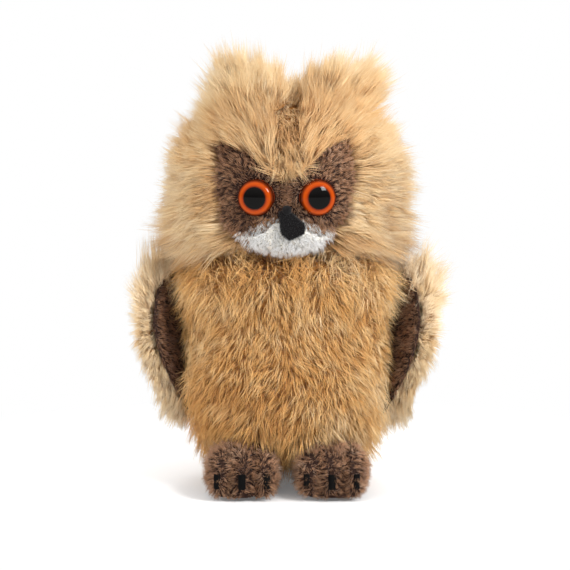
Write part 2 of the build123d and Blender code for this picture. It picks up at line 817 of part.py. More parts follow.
# ================================================================ wing train
with BuildPart() as left_idler:
    with BuildSketch(at_y(gear_back_y)):
        with BuildLine():
            Polyline(*gear_outline((-idler_x, idler_z), idler_teeth, left_idler_phase), close=True)
        make_face()
        with Locations((-idler_x, idler_z)):
            Circle(pin_radius + running_clearance, mode=Mode.SUBTRACT)
    extrude(amount=gear_width)
save(left_idler, "left_idler")

with BuildPart() as right_idler:
    with BuildSketch(at_y(gear_back_y)):
        with BuildLine():
            Polyline(*gear_outline((idler_x, idler_z), idler_teeth, right_idler_phase), close=True)
        make_face()
        with Locations((idler_x, idler_z)):
            Circle(pin_radius + running_clearance, mode=Mode.SUBTRACT)
    extrude(amount=gear_width)
save(right_idler, "right_idler")

with BuildPart() as wing_pinion:
    with BuildSketch(at_y(gear_back_y)):
        with BuildLine():
            Polyline(*gear_outline((idler_x, motor_z), pinion_teeth, wing_pinion_phase), close=True)
        make_face()
    extrude(amount=gear_width)
    with BuildSketch(at_y(gear_back_y + 3.5)):
        with Locations((idler_x, motor_z)):
            Circle(stub_radius)
    extrude(amount=3.5)
save(wing_pinion, "wing_pinion")

for side, name, phase in ((-1, "left", left_wing_phase), (1, "right", right_wing_phase)):
    with BuildPart() as lever:
        if side < 0:
            add(lever_bar(0))
        else:
            mirror(lever_bar(0), about=Plane.YZ)
        with BuildSketch(at_y(gear_back_y)):
            with BuildLine():
                Polyline(*gear_outline((side * wing_pivot_x, wing_pivot_z), wing_teeth, phase), close=True)
            make_face()
            with BuildLine():
                Polyline(*sector_wedge(side), close=True)
            make_face(mode=Mode.INTERSECT)
        extrude(amount=gear_width)
        with BuildSketch(at_y(lever_back_y)):
            with Locations((side * wing_pivot_x, wing_pivot_z)):
                Circle(hub_radius)
        extrude(amount=lever_back_y - gear_front_y)
        with BuildSketch(at_y(lever_back_y)):
            with Locations((side * wing_pivot_x, wing_pivot_z)):
                Circle(pin_radius + running_clearance)
        extrude(amount=lever_back_y - gear_front_y, mode=Mode.SUBTRACT)
    save(lever, f"{name}_wing_lever")

with BuildPart() as left_wing:
    add(wing_solid(0, 0, wing_thickness))
    add(lever_bar(pocket_gap), mode=Mode.SUBTRACT)
save(left_wing, "left_wing_plush")

with BuildPart() as right_wing:
    mirror(left_wing.part, about=Plane.YZ)
save(right_wing, "right_wing_plush")

with BuildPart() as left_lining:
    add(wing_solid(lining_inset, -lining_thickness, lining_thickness))
    add(lever_bar(pocket_gap), mode=Mode.SUBTRACT)
save(left_lining, "left_wing_lining")

with BuildPart() as right_lining:
    mirror(left_lining.part, about=Plane.YZ)
save(right_lining, "right_wing_lining")

# ================================================================ belly button
with BuildPart() as belly_button:
    with BuildSketch(at_y(button_back_y)):
        with Locations((button_x, button_z)):
            Circle(button_radius)
    extrude(amount=button_thickness)
    stem_end = board_y - touch_height - button_travel - soft_gap
    with BuildSketch(at_y(stem_end)):
        with Locations((button_x, button_z)):
            Circle(button_stem)
    extrude(amount=stem_end - button_back_y)
    with BuildSketch(at_y(stem_end)):
        with Locations((button_x, button_z)):
            Circle(button_collar)
    extrude(amount=collar_thickness)
save(belly_button, "belly_button")

with BuildPart() as button_spring:
    rise = (button_stand - spring_wire) / spring_turns
    with BuildLine():
        coil = Helix(rise, button_stand - spring_wire, spring_radius,
                     center=(button_x, button_back_y + spring_wire / 2, button_z), direction=(0, 1, 0))
    with BuildSketch(Plane(coil @ 0, z_dir=coil % 0)):
        Circle(spring_wire / 2)
    sweep(is_frenet=True)
save(button_spring, "button_spring")

# ================================================================ head: frame and drive
with BuildPart() as lower_bush:
    with Locations((0, 0, cup_low - bush_flange)):
        Cylinder(bush_flange_radius, bush_flange, align=(Align.CENTER, Align.CENTER, Align.MIN))
        Cylinder(bush_radius, bush_flange + cup_floor, align=(Align.CENTER, Align.CENTER, Align.MIN))
        Cylinder(post_outer + running_clearance, 4 * cup_floor, mode=Mode.SUBTRACT)
save(lower_bush, "lower_bush")

with BuildPart() as upper_bush:
    with Locations((0, 0, deck_low)):
        Cylinder(bush_radius, deck_thickness, align=(Align.CENTER, Align.CENTER, Align.MIN))
    with Locations((0, 0, deck_high)):
        Cylinder(bush_flange_radius, bush_flange, align=(Align.CENTER, Align.CENTER, Align.MIN))
        Cylinder(post_outer + running_clearance, 4 * deck_thickness, mode=Mode.SUBTRACT)
save(upper_bush, "upper_bush")

with BuildPart() as head_cup:
    with BuildSketch(Plane.XY.offset(cup_low)):
        Circle(cup_radius)
        Circle(bush_radius, mode=Mode.SUBTRACT)
    extrude(amount=cup_floor)
    with BuildSketch(Plane.XY.offset(cup_inside)):
        Circle(cup_radius)
        Circle(cup_radius - cup_wall, mode=Mode.SUBTRACT)
        with PolarLocations(head_screw_circle, 3, start_angle=30):
            Circle(boss_radius)
    extrude(amount=deck_low - cup_inside)
    with BuildSketch(Plane.XY.offset(cup_inside)):
        with PolarLocations(head_screw_circle, 3, start_angle=30):
            Circle(screw_radius)
    extrude(amount=deck_low - cup_inside, mode=Mode.SUBTRACT)
save(head_cup, "head_cup")

with BuildPart() as head_deck:
    with BuildSketch(Plane.XY.offset(deck_low)):
        Circle(cup_radius)
        Circle(bush_radius, mode=Mode.SUBTRACT)
        with Locations((0, head_pinion_y)):
            Circle(stub_radius + 0.6, mode=Mode.SUBTRACT)
        with PolarLocations(head_screw_circle, 3, start_angle=30):
            Circle(screw_radius, mode=Mode.SUBTRACT)
    extrude(amount=deck_thickness)
save(head_deck, "head_deck")

with BuildPart() as head_screws:
    with BuildSketch(Plane.XY.offset(deck_high)):
        with PolarLocations(head_screw_circle, 3, start_angle=30):
            Circle(screw_radius)
    extrude(amount=-(deck_high - cup_inside))
    with BuildSketch(Plane.XY.offset(deck_high)):
        with PolarLocations(head_screw_circle, 3, start_angle=30):
            Circle(screw_head_radius)
    extrude(amount=screw_head)
save(head_screws, "head_screws")

with BuildPart() as head_motor:
    with Locations((0, head_pinion_y, deck_high)):
        Box(motor_width, motor_height, head_motor_height, align=(Align.CENTER, Align.CENTER, Align.MIN))
        Cylinder(stub_radius + running_clearance, 2 * 3.0, mode=Mode.SUBTRACT)
save(head_motor, "head_motor")

with BuildPart() as head_pinion:
    with BuildSketch(Plane.XY.offset(neck_gear_low)):
        with BuildLine():
            Polyline(*gear_outline((0, head_pinion_y), pinion_teeth, head_pinion_phase), close=True)
        make_face()
    extrude(amount=gear_width)
    with BuildSketch(Plane.XY.offset(neck_gear_low)):
        with Locations((0, head_pinion_y)):
            Circle(stub_radius)
    extrude(amount=deck_high + 2.5 - neck_gear_low)
save(head_pinion, "head_pinion")


# ================================================================ head: face
def eye_plane(side):
    """Plane of one eye's rim, its normal looking out of the face."""
    turn = math.radians(eye_tilt)
    surface = head_radius + patch_thickness
    y = -math.sqrt(surface**2 - eye_x**2) + eye_sink
    return Plane(origin=(side * eye_x, y, eye_z), x_dir=(math.cos(turn), side * math.sin(turn), 0),
                 z_dir=(side * math.sin(turn), -math.cos(turn), 0))


def eye_pocket(side, depth):
    """Round hole for one eye, from in front of the face down to depth behind its rim."""
    with BuildPart() as pocket:
        with BuildSketch(eye_plane(side).offset(-depth)):
            Circle(eye_radius)
        extrude(amount=depth + 10)
        with BuildSketch(eye_plane(side).offset(-shank_length - soft_gap)):
            Circle(shank_radius)
        extrude(amount=shank_length + soft_gap)
    return pocket.part


def patch_prism():
    """Both oval outlines of the eye patches, cut straight through the front of the head."""
    with BuildPart() as prism:
        with BuildSketch(Plane.XZ):
            with Locations((-patch_x, patch_z), (patch_x, patch_z)):
                Ellipse(patch_half_width, patch_half_height)
        extrude(amount=2 * head_radius)
    return prism.part


with BuildPart() as head_plush:
    add(head_form(0))
    add(head_form(-skin), mode=Mode.SUBTRACT)
    with Locations((0, 0, head_bottom)):
        Cylinder(bush_flange_radius + soft_gap, 2 * skin + 1, mode=Mode.SUBTRACT)
    for side in (-1, 1):
        add(eye_pocket(side, iris_thickness), mode=Mode.SUBTRACT)
save(head_plush, "head_plush")

with BuildPart() as head_stuffing:
    add(head_form(-skin))
    with Locations((0, 0, cup_low - 1)):
        Cylinder(cup_radius + soft_gap, deck_high + soft_gap - cup_low + 1,
                 align=(Align.CENTER, Align.CENTER, Align.MIN), mode=Mode.SUBTRACT)
    with Locations((0, 0, deck_high)):
        Cylinder(bush_flange_radius + soft_gap, clip_low + clip_thickness + post_end + soft_gap - deck_high,
                 align=(Align.CENTER, Align.CENTER, Align.MIN), mode=Mode.SUBTRACT)
    with Locations((0, head_pinion_y, deck_high)):
        Box(motor_width + 2 * soft_gap, motor_height + 2 * soft_gap, head_motor_height + soft_gap,
            align=(Align.CENTER, Align.CENTER, Align.MIN), mode=Mode.SUBTRACT)
    with BuildSketch(Plane.XY.offset(deck_high)):
        with PolarLocations(head_screw_circle, 3, start_angle=30):
            Circle(screw_head_radius + soft_gap)
    extrude(amount=screw_head + soft_gap, mode=Mode.SUBTRACT)
    for side in (-1, 1):
        add(eye_pocket(side, iris_thickness), mode=Mode.SUBTRACT)
        with BuildSketch(eye_plane(side).offset(-washer_depth - washer_thickness - soft_gap)):
            Circle(washer_radius + soft_gap)
        extrude(amount=washer_depth + washer_thickness, mode=Mode.SUBTRACT)
save(head_stuffing, "head_stuffing")

for side, name in ((-1, "left"), (1, "right")):
    with BuildPart() as patch:
        add(head_form(patch_thickness))
        add(head_form(0), mode=Mode.SUBTRACT)
        with BuildSketch(Plane.XZ):
            with Locations((side * patch_x, patch_z)):
                Ellipse(patch_half_width, patch_half_height)
        extrude(amount=2 * head_radius, mode=Mode.INTERSECT)
        add(eye_pocket(side, iris_thickness), mode=Mode.SUBTRACT)
    save(patch, f"{name}_eye_patch")

    with BuildPart() as iris:
        with BuildSketch(eye_plane(side).offset(-iris_thickness)):
            Circle(eye_radius)
        extrude(amount=iris_thickness)
        with BuildSketch(eye_plane(side).offset(-shank_length)):
            Circle(shank_radius)
        extrude(amount=shank_length)
    save(iris, f"{name}_iris")

    with BuildPart() as pupil:
        with BuildSketch(eye_plane(side)):
            Circle(pupil_radius)
        extrude(amount=pupil_thickness)
    save(pupil, f"{name}_pupil")

    with BuildPart() as lens:
        ball = (eye_radius**2 + lens_height**2) / (2 * lens_height)
        with BuildSketch(eye_plane(side)):
            Circle(eye_radius)
        extrude(amount=lens_height)
        with Locations(eye_plane(side).offset(lens_height - ball).location):
            Sphere(ball, mode=Mode.INTERSECT)
        with BuildSketch(eye_plane(side)):
            Circle(pupil_radius)
        extrude(amount=pupil_thickness, mode=Mode.SUBTRACT)
    save(lens, f"{name}_eye_lens")

with BuildPart() as washers:
    for side in (-1, 1):
        with BuildSketch(eye_plane(side).offset(-washer_depth - washer_thickness)):
            Circle(washer_radius)
            Circle(shank_radius, mode=Mode.SUBTRACT)
        extrude(amount=washer_thickness)
save(washers, "eye_washers")

with BuildPart() as muzzle:
    muzzle_z = head_bottom + muzzle_radius - 0.6
    with BuildSketch(Plane((0, muzzle_y, muzzle_z), x_dir=(1, 0, 0), z_dir=(0, -1, 0))):
        Ellipse(muzzle_half_width, muzzle_radius)
        with Locations((0, -muzzle_radius)):
            Rectangle(4 * muzzle_half_width, 2 * muzzle_radius, mode=Mode.SUBTRACT)
    revolve(axis=Axis((0, muzzle_y, muzzle_z), (1, 0, 0)))
    add(head_form(0), mode=Mode.SUBTRACT)
    add(patch_prism(), mode=Mode.SUBTRACT)
save(muzzle, "muzzle")

with BuildPart() as beak:
    root_y = -head_radius + 2
    with BuildSketch(Plane.YZ.offset(-beak_half_width)):
        with BuildLine():
            Polyline((root_y, beak_top), (root_y - 6, beak_top - 1), (root_y - 2 - beak_reach, beak_tip + 5),
                     (root_y - beak_reach, beak_tip), (root_y - 4, beak_tip + 1), (root_y, beak_tip + 5),
                     close=True)
        make_face()
    extrude(amount=2 * beak_half_width)
    add(head_form(0), mode=Mode.SUBTRACT)
    add(patch_prism(), mode=Mode.SUBTRACT)
    add(muzzle.part, mode=Mode.SUBTRACT)
save(beak, "beak")

with BuildPart() as left_tuft:
    for height, x, y, half_width, half_depth in tuft_sections:
        with BuildSketch(Plane.XY.offset(height)):
            with Locations((-x, y)):
                Ellipse(half_width, half_depth)
    loft()
    add(head_form(0), mode=Mode.SUBTRACT)
    add(patch_prism(), mode=Mode.SUBTRACT)
save(left_tuft, "left_brow_tuft")

with BuildPart() as right_tuft:
    mirror(left_tuft.part, about=Plane.YZ)
save(right_tuft, "right_brow_tuft")
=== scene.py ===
# %% [markdown]
# # A plush owl, dressed around its mechanism
# The CAD model holds the skeleton: case, gears, levers, eyes on shanks, and a plain solid for every
# stuffed part. This lesson dresses it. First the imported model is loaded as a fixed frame.

# %% Load the frame
import json
import math

import bpy
import numpy as np
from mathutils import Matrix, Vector, kdtree

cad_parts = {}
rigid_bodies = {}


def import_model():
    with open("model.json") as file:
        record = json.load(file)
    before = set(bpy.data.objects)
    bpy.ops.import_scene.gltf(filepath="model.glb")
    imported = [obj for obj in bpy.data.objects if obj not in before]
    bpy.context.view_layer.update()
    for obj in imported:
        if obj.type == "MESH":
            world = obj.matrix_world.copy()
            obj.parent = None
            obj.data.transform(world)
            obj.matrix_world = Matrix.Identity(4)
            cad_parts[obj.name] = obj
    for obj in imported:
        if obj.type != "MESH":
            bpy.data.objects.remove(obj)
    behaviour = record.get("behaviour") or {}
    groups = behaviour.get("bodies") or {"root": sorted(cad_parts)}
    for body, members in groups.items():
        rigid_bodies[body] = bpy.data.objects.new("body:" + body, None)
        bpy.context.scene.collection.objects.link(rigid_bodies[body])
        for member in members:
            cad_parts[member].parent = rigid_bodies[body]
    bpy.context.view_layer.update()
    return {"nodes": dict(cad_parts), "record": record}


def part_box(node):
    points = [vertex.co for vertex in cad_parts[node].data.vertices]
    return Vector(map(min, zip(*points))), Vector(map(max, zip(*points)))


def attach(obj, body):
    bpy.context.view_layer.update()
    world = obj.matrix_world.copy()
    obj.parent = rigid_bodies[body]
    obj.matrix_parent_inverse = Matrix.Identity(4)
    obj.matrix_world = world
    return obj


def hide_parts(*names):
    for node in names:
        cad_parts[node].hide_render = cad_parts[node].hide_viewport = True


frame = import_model()
bpy.ops.object.select_all(action="DESELECT")
print("frame loaded:", len(frame["nodes"]), "nodes")

# %% [markdown]
# Sizes are written in millimetres, as a pattern cutter would, and turned to metres once, when a
# mesh is made. Every pile draws from a generator seeded with its own name, so each run gives the
# same owl.

# %% Units and small helpers
MM = 0.001


def box_mm(node):
    """Lowest and highest corner of a CAD node, in millimetres."""
    low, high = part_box(node)
    return np.array(low) / MM, np.array(high) / MM


def unit(vectors):
    """Rows scaled to length 1."""
    return vectors / np.maximum(np.linalg.norm(vectors, axis=-1, keepdims=True), 1e-9)


def portion(value):
    """A number held between 0 and 1."""
    return max(0.0, min(1.0, value))


def wave(points, size, seed):
    """Smooth mottling between -1 and 1 with blotches of about the given size."""
    turns = np.random.default_rng(seed)
    total = np.zeros(len(points))
    for _ in range(6):
        way = unit(turns.normal(size=3)) * 2 * math.pi / (size * turns.uniform(1.2, 3.2))
        total += np.sin(points @ way + turns.uniform(0, 2 * math.pi))
    return total / 3.2


def inside(outline, x, z):
    """True where (x, z) lies inside a closed outline."""
    hits = np.zeros(len(x), bool)
    for (x0, z0), (x1, z1) in zip(outline, outline[1:] + outline[:1]):
        spans = (z0 > z) != (z1 > z)
        hits ^= spans & (x < (x1 - x0) * (z - z0) / (z1 - z0 + 1e-12) + x0)
    return hits


body_low, body_high = box_mm("body_plush")
head_low, head_high = box_mm("head_plush")
print("body", body_low.round(1), body_high.round(1), "head", head_low.round(1), head_high.round(1))

# %% [markdown]
# ## The studio
# A plain sweep of white, one large soft lamp from the upper right, a weaker one from the left and
# an even white sky. The camera stands far off with a long lens, a little above the owl, so that
# its shape isn't stretched.

# %% Camera
AIM_X, AIM_Z = -0.8, 89.2  # the point on the owl that the camera looks at
CAMERA_FAR = 1100.0
CAMERA_RISE = 6.0          # degrees above the horizon
FIELD = 258.0              # width of the view at the owl
SENSOR = 36                # width of the camera's sensor

camera_data = bpy.data.cameras.new("camera")
camera_data.sensor_width = SENSOR
camera_data.lens = SENSOR * CAMERA_FAR / FIELD
camera = bpy.data.objects.new("camera", camera_data)
bpy.context.scene.collection.objects.link(camera)
rise = math.radians(CAMERA_RISE)
target = Vector((AIM_X, 0, AIM_Z)) * MM
camera.location = target + Vector((0, -math.cos(rise), math.sin(rise))) * CAMERA_FAR * MM
camera.rotation_euler = (target - camera.location).to_track_quat("-Z", "Y").to_euler()
camera_data.clip_start = 0.01
bpy.context.scene.camera = camera
print("camera lens", round(camera_data.lens, 1))

# %% Materials: colours and nodes
def colour(code):
    """An sRGB hex colour as linear RGBA."""
    parts = [int(code[i:i + 2], 16) / 255 for i in (1, 3, 5)]
    return [p / 12.92 if p <= 0.04045 else ((p + 0.055) / 1.055) ** 2.4 for p in parts] + [1.0]


def add_node(tree, kind, settings=None, links=None):
    """Adds a node. settings are properties or input values, and links are its inputs' sources."""
    made = tree.nodes.new(kind)
    for name, value in (settings or {}).items():
        if name in made.inputs:
            made.inputs[name].default_value = value
        else:
            setattr(made, name, value)
    for name, source in (links or {}).items():
        tree.links.new(source, made.inputs[name])
    return made


def new_material(name):
    """A material with an empty tree and its output node."""
    made = bpy.data.materials.new(name)
    made.use_nodes = True
    made.node_tree.nodes.clear()
    return made, made.node_tree


def ramp(tree, source, stops):
    """A colour ramp driven by source, with (place, hex colour) stops."""
    made = tree.nodes.new("ShaderNodeValToRGB")
    tree.links.new(source, made.inputs[0])
    points = made.color_ramp.elements
    for point, (place, code) in zip((points[0], points[1]), (stops[0], stops[-1])):
        point.position = place
        point.color = colour(code)
    for place, code in stops[1:-1]:
        points.new(place).color = colour(code)
    return made


print("mid grey in linear light:", round(colour("#808080")[0], 3))

# %% Stage: floor, lamps and sky
FLOOR_GLOW = 0.12          # lifts the floor to near white without lighting the owl
FADE_FROM, FADE_TO = 0.08, 0.24  # metres from the owl over which the floor turns plain white
CHEST = Vector((0, 0, 0.1))      # where the lamps point, in metres

floor_material, tree = new_material("studio_floor")
matt = add_node(tree, "ShaderNodeBsdfDiffuse", {"Color": colour("#F4F4F4")})
glow = add_node(tree, "ShaderNodeEmission", {"Color": colour("#FFFFFF"), "Strength": FLOOR_GLOW})
white = add_node(tree, "ShaderNodeEmission", {"Color": colour("#FFFFFF"), "Strength": 1.0})
rays = add_node(tree, "ShaderNodeLightPath")
seen = add_node(tree, "ShaderNodeMath", {"operation": "MAXIMUM"},
                {0: rays.outputs["Is Camera Ray"], 1: rays.outputs["Is Glossy Ray"]})
dark = add_node(tree, "ShaderNodeEmission", {"Strength": 0.0})
lift = add_node(tree, "ShaderNodeMixShader", None,
                {0: seen.outputs[0], 1: dark.outputs[0], 2: glow.outputs[0]})
both = add_node(tree, "ShaderNodeAddShader", None, {0: matt.outputs[0], 1: lift.outputs[0]})
where = add_node(tree, "ShaderNodeTexCoord")
far = add_node(tree, "ShaderNodeVectorMath", {"operation": "LENGTH"}, {0: where.outputs["Object"]})
edge = add_node(tree, "ShaderNodeMapRange",
                {"From Min": FADE_FROM, "From Max": FADE_TO, "interpolation_type": "SMOOTHSTEP"},
                {"Value": far.outputs["Value"]})
fade = add_node(tree, "ShaderNodeMath", {"operation": "MULTIPLY"},
                {0: edge.outputs[0], 1: seen.outputs[0]})
sweep = add_node(tree, "ShaderNodeMixShader", None,
                 {0: fade.outputs[0], 1: both.outputs[0], 2: white.outputs[0]})
add_node(tree, "ShaderNodeOutputMaterial", None, {"Surface": sweep.outputs[0]})

bpy.ops.mesh.primitive_plane_add(size=12, location=(0, 0, 0))
floor = bpy.context.object
floor.name = "studio_floor"
floor.data.materials.append(floor_material)
bpy.ops.object.select_all(action="DESELECT")

world = bpy.data.worlds.new("studio_sky")
bpy.context.scene.world = world
world.use_nodes = True
tree = world.node_tree
tree.nodes.clear()
rays = add_node(tree, "ShaderNodeLightPath")
way = add_node(tree, "ShaderNodeTexCoord")
height = add_node(tree, "ShaderNodeSeparateXYZ", None, {0: way.outputs["Generated"]})
shade = ramp(tree, height.outputs["Z"], ((0.0, "#8C8C8C"), (0.7, "#FFFFFF")))
soft = add_node(tree, "ShaderNodeBackground", {"Strength": 0.95}, {"Color": shade.outputs[0]})
plain = add_node(tree, "ShaderNodeBackground", {"Color": colour("#FFFFFF"), "Strength": 1.0})
pick = add_node(tree, "ShaderNodeMixShader", None,
                {0: rays.outputs["Is Camera Ray"], 1: soft.outputs[0], 2: plain.outputs[0]})
add_node(tree, "ShaderNodeOutputWorld", None, {"Surface": pick.outputs[0]})


def lamp(name, place, size, power):
    """A square soft lamp that points at the owl's chest."""
    data = bpy.data.lights.new(name, "AREA")
    data.size = size
    data.energy = power
    made = bpy.data.objects.new(name, data)
    bpy.context.scene.collection.objects.link(made)
    made.location = place
    made.rotation_euler = (CHEST - made.location).to_track_quat("-Z", "Y").to_euler()
    return made


lamp("key_lamp", (0.68, -0.72, 0.72), 0.35, 10.4)
fill = lamp("fill_lamp", (-0.9, -0.6, 0.5), 0.8, 5.2)
fill.visible_glossy = False
lamp("back_lamp", (0.1, 0.9, 0.8), 0.7, 5.0)
bpy.context.scene.view_settings.view_transform = "Standard"
print("stage ready")

# %% [markdown]
# ## Pile fabric
# Long plush is a knitted backing with acrylic or polyester fibres locked into it. The fibres are
# dark and dense at the root and pale and thin at the tip, and they stick together in small locks.
# A shader can't give the outline of fur, and particle hair isn't kept in the finished mesh, so each
# fibre lock is modelled: a closed three-sided spike, tapered to a point. The fibre's tone and how
# far a point lies along it are stored on the mesh, and one material per fabric reads them.


# %% Pile material
def pile_material(name, roots, tips, root_end=0.55):
    """Plush fabric. roots and tips are ramps over the fibre's tone, mixed from root to tip."""
    made, tree = new_material(name)
    strand = add_node(tree, "ShaderNodeAttribute", {"attribute_name": "strand"})
    split = add_node(tree, "ShaderNodeSeparateXYZ", None, {0: strand.outputs["Vector"]})
    deep = ramp(tree, split.outputs["X"], roots)
    pale = ramp(tree, split.outputs["X"], tips)
    rise_to = add_node(tree, "ShaderNodeMapRange",
                       {"From Min": 0.05, "From Max": root_end, "To Min": 0.0, "To Max": 1.0},
                       {"Value": split.outputs["Y"]})
    blend = add_node(tree, "ShaderNodeMix", {"data_type": "RGBA"}, {"Factor": rise_to.outputs[0]})
    tree.links.new(deep.outputs[0], blend.inputs[6])   # its two colour inputs, A and B
    tree.links.new(pale.outputs[0], blend.inputs[7])
    shader = add_node(tree, "ShaderNodeBsdfPrincipled",
                      {"Roughness": 0.62, "Specular IOR Level": 0.25, "Sheen Weight": 0.15,
                       "Sheen Roughness": 0.45})
    tree.links.new(blend.outputs[2], shader.inputs["Base Color"])
    add_node(tree, "ShaderNodeOutputMaterial", None, {"Surface": shader.outputs[0]})
    return made


def grained_material(name, low, high, scale, spread, bump, depth, finish, detail=3.0, rough=0.5):
    """Two tones mixed by a fine noise, which also raises the surface. finish sets the shader."""
    made, tree = new_material(name)
    where = add_node(tree, "ShaderNodeTexCoord")
    grain = add_node(tree, "ShaderNodeTexNoise",
                     {"Scale": scale, "Detail": detail, "Roughness": rough},
                     {"Vector": where.outputs["Object"]})
    tone = ramp(tree, grain.outputs[0], ((0.5 - spread, low), (0.5 + spread, high)))
    relief = add_node(tree, "ShaderNodeBump", {"Strength": bump, "Distance": depth},
                      {"Height": grain.outputs[0]})
    shader = add_node(tree, "ShaderNodeBsdfPrincipled", finish,
                      {"Base Color": tone.outputs[0], "Normal": relief.outputs[0]})
    add_node(tree, "ShaderNodeOutputMaterial", None, {"Surface": shader.outputs[0]})
    return made


def backing_material(name, low, high):
    """Knitted backing seen between the fibres: a matt cloth with a fine uneven tone."""
    return grained_material(name, low, high, 900.0, 0.2, 0.5, 0.0006,
                            {"Roughness": 0.95, "Specular IOR Level": 0.1})


TAN_ROOTS = ((0.0, "#8A5528"), (0.5, "#BE8A50"), (1.0, "#E6BF8A"))
TAN_TIPS = ((0.0, "#C98F55"), (0.45, "#E6BC85"), (0.75, "#F5D9AA"), (1.0, "#FDE7C6"))
BROWN_ROOTS = ((0.0, "#3A2418"), (1.0, "#7A5640"))
BROWN_TIPS = ((0.0, "#7A5238"), (0.6, "#B88A67"), (1.0, "#D6B498"))
WHITE_ROOTS = ((0.0, "#F0ECE4"), (1.0, "#FAF8F3"))
WHITE_TIPS = ((0.0, "#F7F4EF"), (1.0, "#FFFFFF"))
CARAMEL_ROOTS = ((0.0, "#8A5322"), (0.5, "#C08645"), (1.0, "#E0B47A"))
CARAMEL_TIPS = ((0.0, "#CF9150"), (0.4, "#EFB86E"), (0.7, "#FAD294"), (1.0, "#FDE4BA"))
tan_pile = pile_material("tan_acrylic_pile", TAN_ROOTS, TAN_TIPS)
caramel_pile = pile_material("caramel_acrylic_pile", CARAMEL_ROOTS, CARAMEL_TIPS)
brown_pile = pile_material("brown_short_pile", BROWN_ROOTS, BROWN_TIPS)
white_pile = pile_material("white_short_pile", WHITE_ROOTS, WHITE_TIPS)
tan_backing = backing_material("tan_knitted_backing", "#94622F", "#B98850")
brown_backing = backing_material("brown_knitted_backing", "#231814", "#3D2B24")
white_backing = backing_material("white_knitted_backing", "#E6E1D6", "#F2EEE6")
print("pile materials ready")


# %% Growing a pile
KINK = 0.45                # how far along a fibre its bend lies
FLOOR_GAP = 0.5            # no fibre reaches lower than this
UNDERCOAT = 0.68           # the undercoat's length as a share of the guard fibres'
SQUARE = 4                 # side of the squares in which a pile's area is counted


def sample_skin(skin, count, rng, keep=None):
    """count points spread evenly over a mesh, with normals, in millimetres. keep picks a region."""
    mesh = skin.data
    mesh.calc_loop_triangles()
    corners = np.empty(len(mesh.loop_triangles) * 3, np.int32)
    mesh.loop_triangles.foreach_get("vertices", corners)
    places = np.empty(len(mesh.vertices) * 3)
    mesh.vertices.foreach_get("co", places)
    normals = np.empty(len(mesh.vertices) * 3)
    mesh.vertices.foreach_get("normal", normals)
    corners = corners.reshape(-1, 3)
    places = places.reshape(-1, 3) / MM
    normals = normals.reshape(-1, 3)
    a, b, c = (places[corners[:, i]] for i in range(3))
    area = np.linalg.norm(np.cross(b - a, c - a), axis=1)
    if keep is not None:
        area = area * keep((a + b + c) / 3)
    pick = rng.choice(len(area), count, p=area / area.sum())
    s, t = rng.random(count), rng.random(count)
    fold = s + t > 1
    s[fold], t[fold] = 1 - s[fold], 1 - t[fold]
    weight = np.stack([1 - s - t, s, t], 1)
    points = np.einsum("ij,ijk->ik", weight, places[corners[pick]])
    facing = unit(np.einsum("ij,ijk->ik", weight, normals[corners[pick]]))
    return points, facing


def grow(name, skin, count, length, comb, material, tone, width=0.27, lock=2.2, keep=None,
         sink=0.4, bent=True):
    """Fibres on a skin: comb(points, normals) gives their way at the root and at the tip.

    Fibres lean on the leader of their lock, which is about lock millimetres wide. ruffle is how
    far their ways differ, cling how much they follow the leader, and stray the share that doesn't.
    """
    ruffle, cling, stray = 0.22, 0.42, 0.03
    rng = np.random.default_rng(list(name.encode()))
    points, normals = sample_skin(skin, count, rng, keep)
    locks = int(min(count / 3, max(8, region_area(points) / (lock * lock))))
    leaders = rng.choice(count, locks, replace=False)
    tree = kdtree.KDTree(len(leaders))
    for i, leader in enumerate(leaders):
        tree.insert(points[leader], i)
    tree.balance()
    mine = np.array([tree.find(p)[1] for p in points])
    group = leaders[mine]
    at_root, at_tip = comb(points, normals)
    shared = rng.normal(size=(len(leaders), 3)) * ruffle
    alone = rng.normal(size=(count, 3)) * ruffle * 0.55
    at_root = unit(at_root + 0.6 * shared[mine] + alone)
    at_tip = unit(at_tip + shared[mine] + alone)
    long = length(points) if callable(length) else np.full(count, float(length))
    uneven = rng.uniform(0.78, 1.12, count)
    long = long * uneven * (1 + 0.18 * rng.normal(size=len(leaders))[mine]).clip(0.7, 1.2)
    loose = rng.random(count) < stray
    long = np.where(loose, long * 1.12, long)
    start = points - normals * sink
    middle = start + at_root * (KINK * long)[:, None]
    end = middle + at_tip * ((1 - KINK) * long)[:, None]
    hold = np.where(loose, 0.1, cling * rng.uniform(0.6, 1.2, count))[:, None].clip(0, 0.95)
    middle = middle + (middle[group] + (start - start[group]) * 0.55 - middle) * hold * 0.5
    end = end + (end[group] + (start - start[group]) * 0.18 - end) * hold
    shade = (tone(points) + 0.09 * rng.normal(size=count)
             + 0.07 * rng.normal(size=len(leaders))[mine])
    for point in (middle, end):
        point[:, 2] = np.maximum(point[:, 2], FLOOR_GAP)
    widths = width * rng.uniform(0.75, 1.25, count)
    return spikes(name, start, middle if bent else None, end, widths, shade.clip(0.04, 0.96),
                  material, rng)


def coat(name, skin, body, top, under, length, comb, tone, keep=None, pile=None, **ways):
    """Long pile: bent guard fibres over a dense straight undercoat that is two thirds as long."""
    pile = pile or tan_pile
    upper = grow(name, skin, top, length, comb, pile, tone, keep=keep, **ways)
    lower = grow(name + "_under", skin, under, lambda p: UNDERCOAT * length(p), comb, pile,
                 lambda p: tone(p) - 0.05, keep=keep, bent=False, **ways)
    for fur in (upper, lower):
        dress(fur, None, body, slot="tan_pile")


def region_area(points):
    """Rough area that the points cover, in square millimetres."""
    squares = np.unique((points / SQUARE).round().astype(int), axis=0)
    return len(squares) * SQUARE * SQUARE


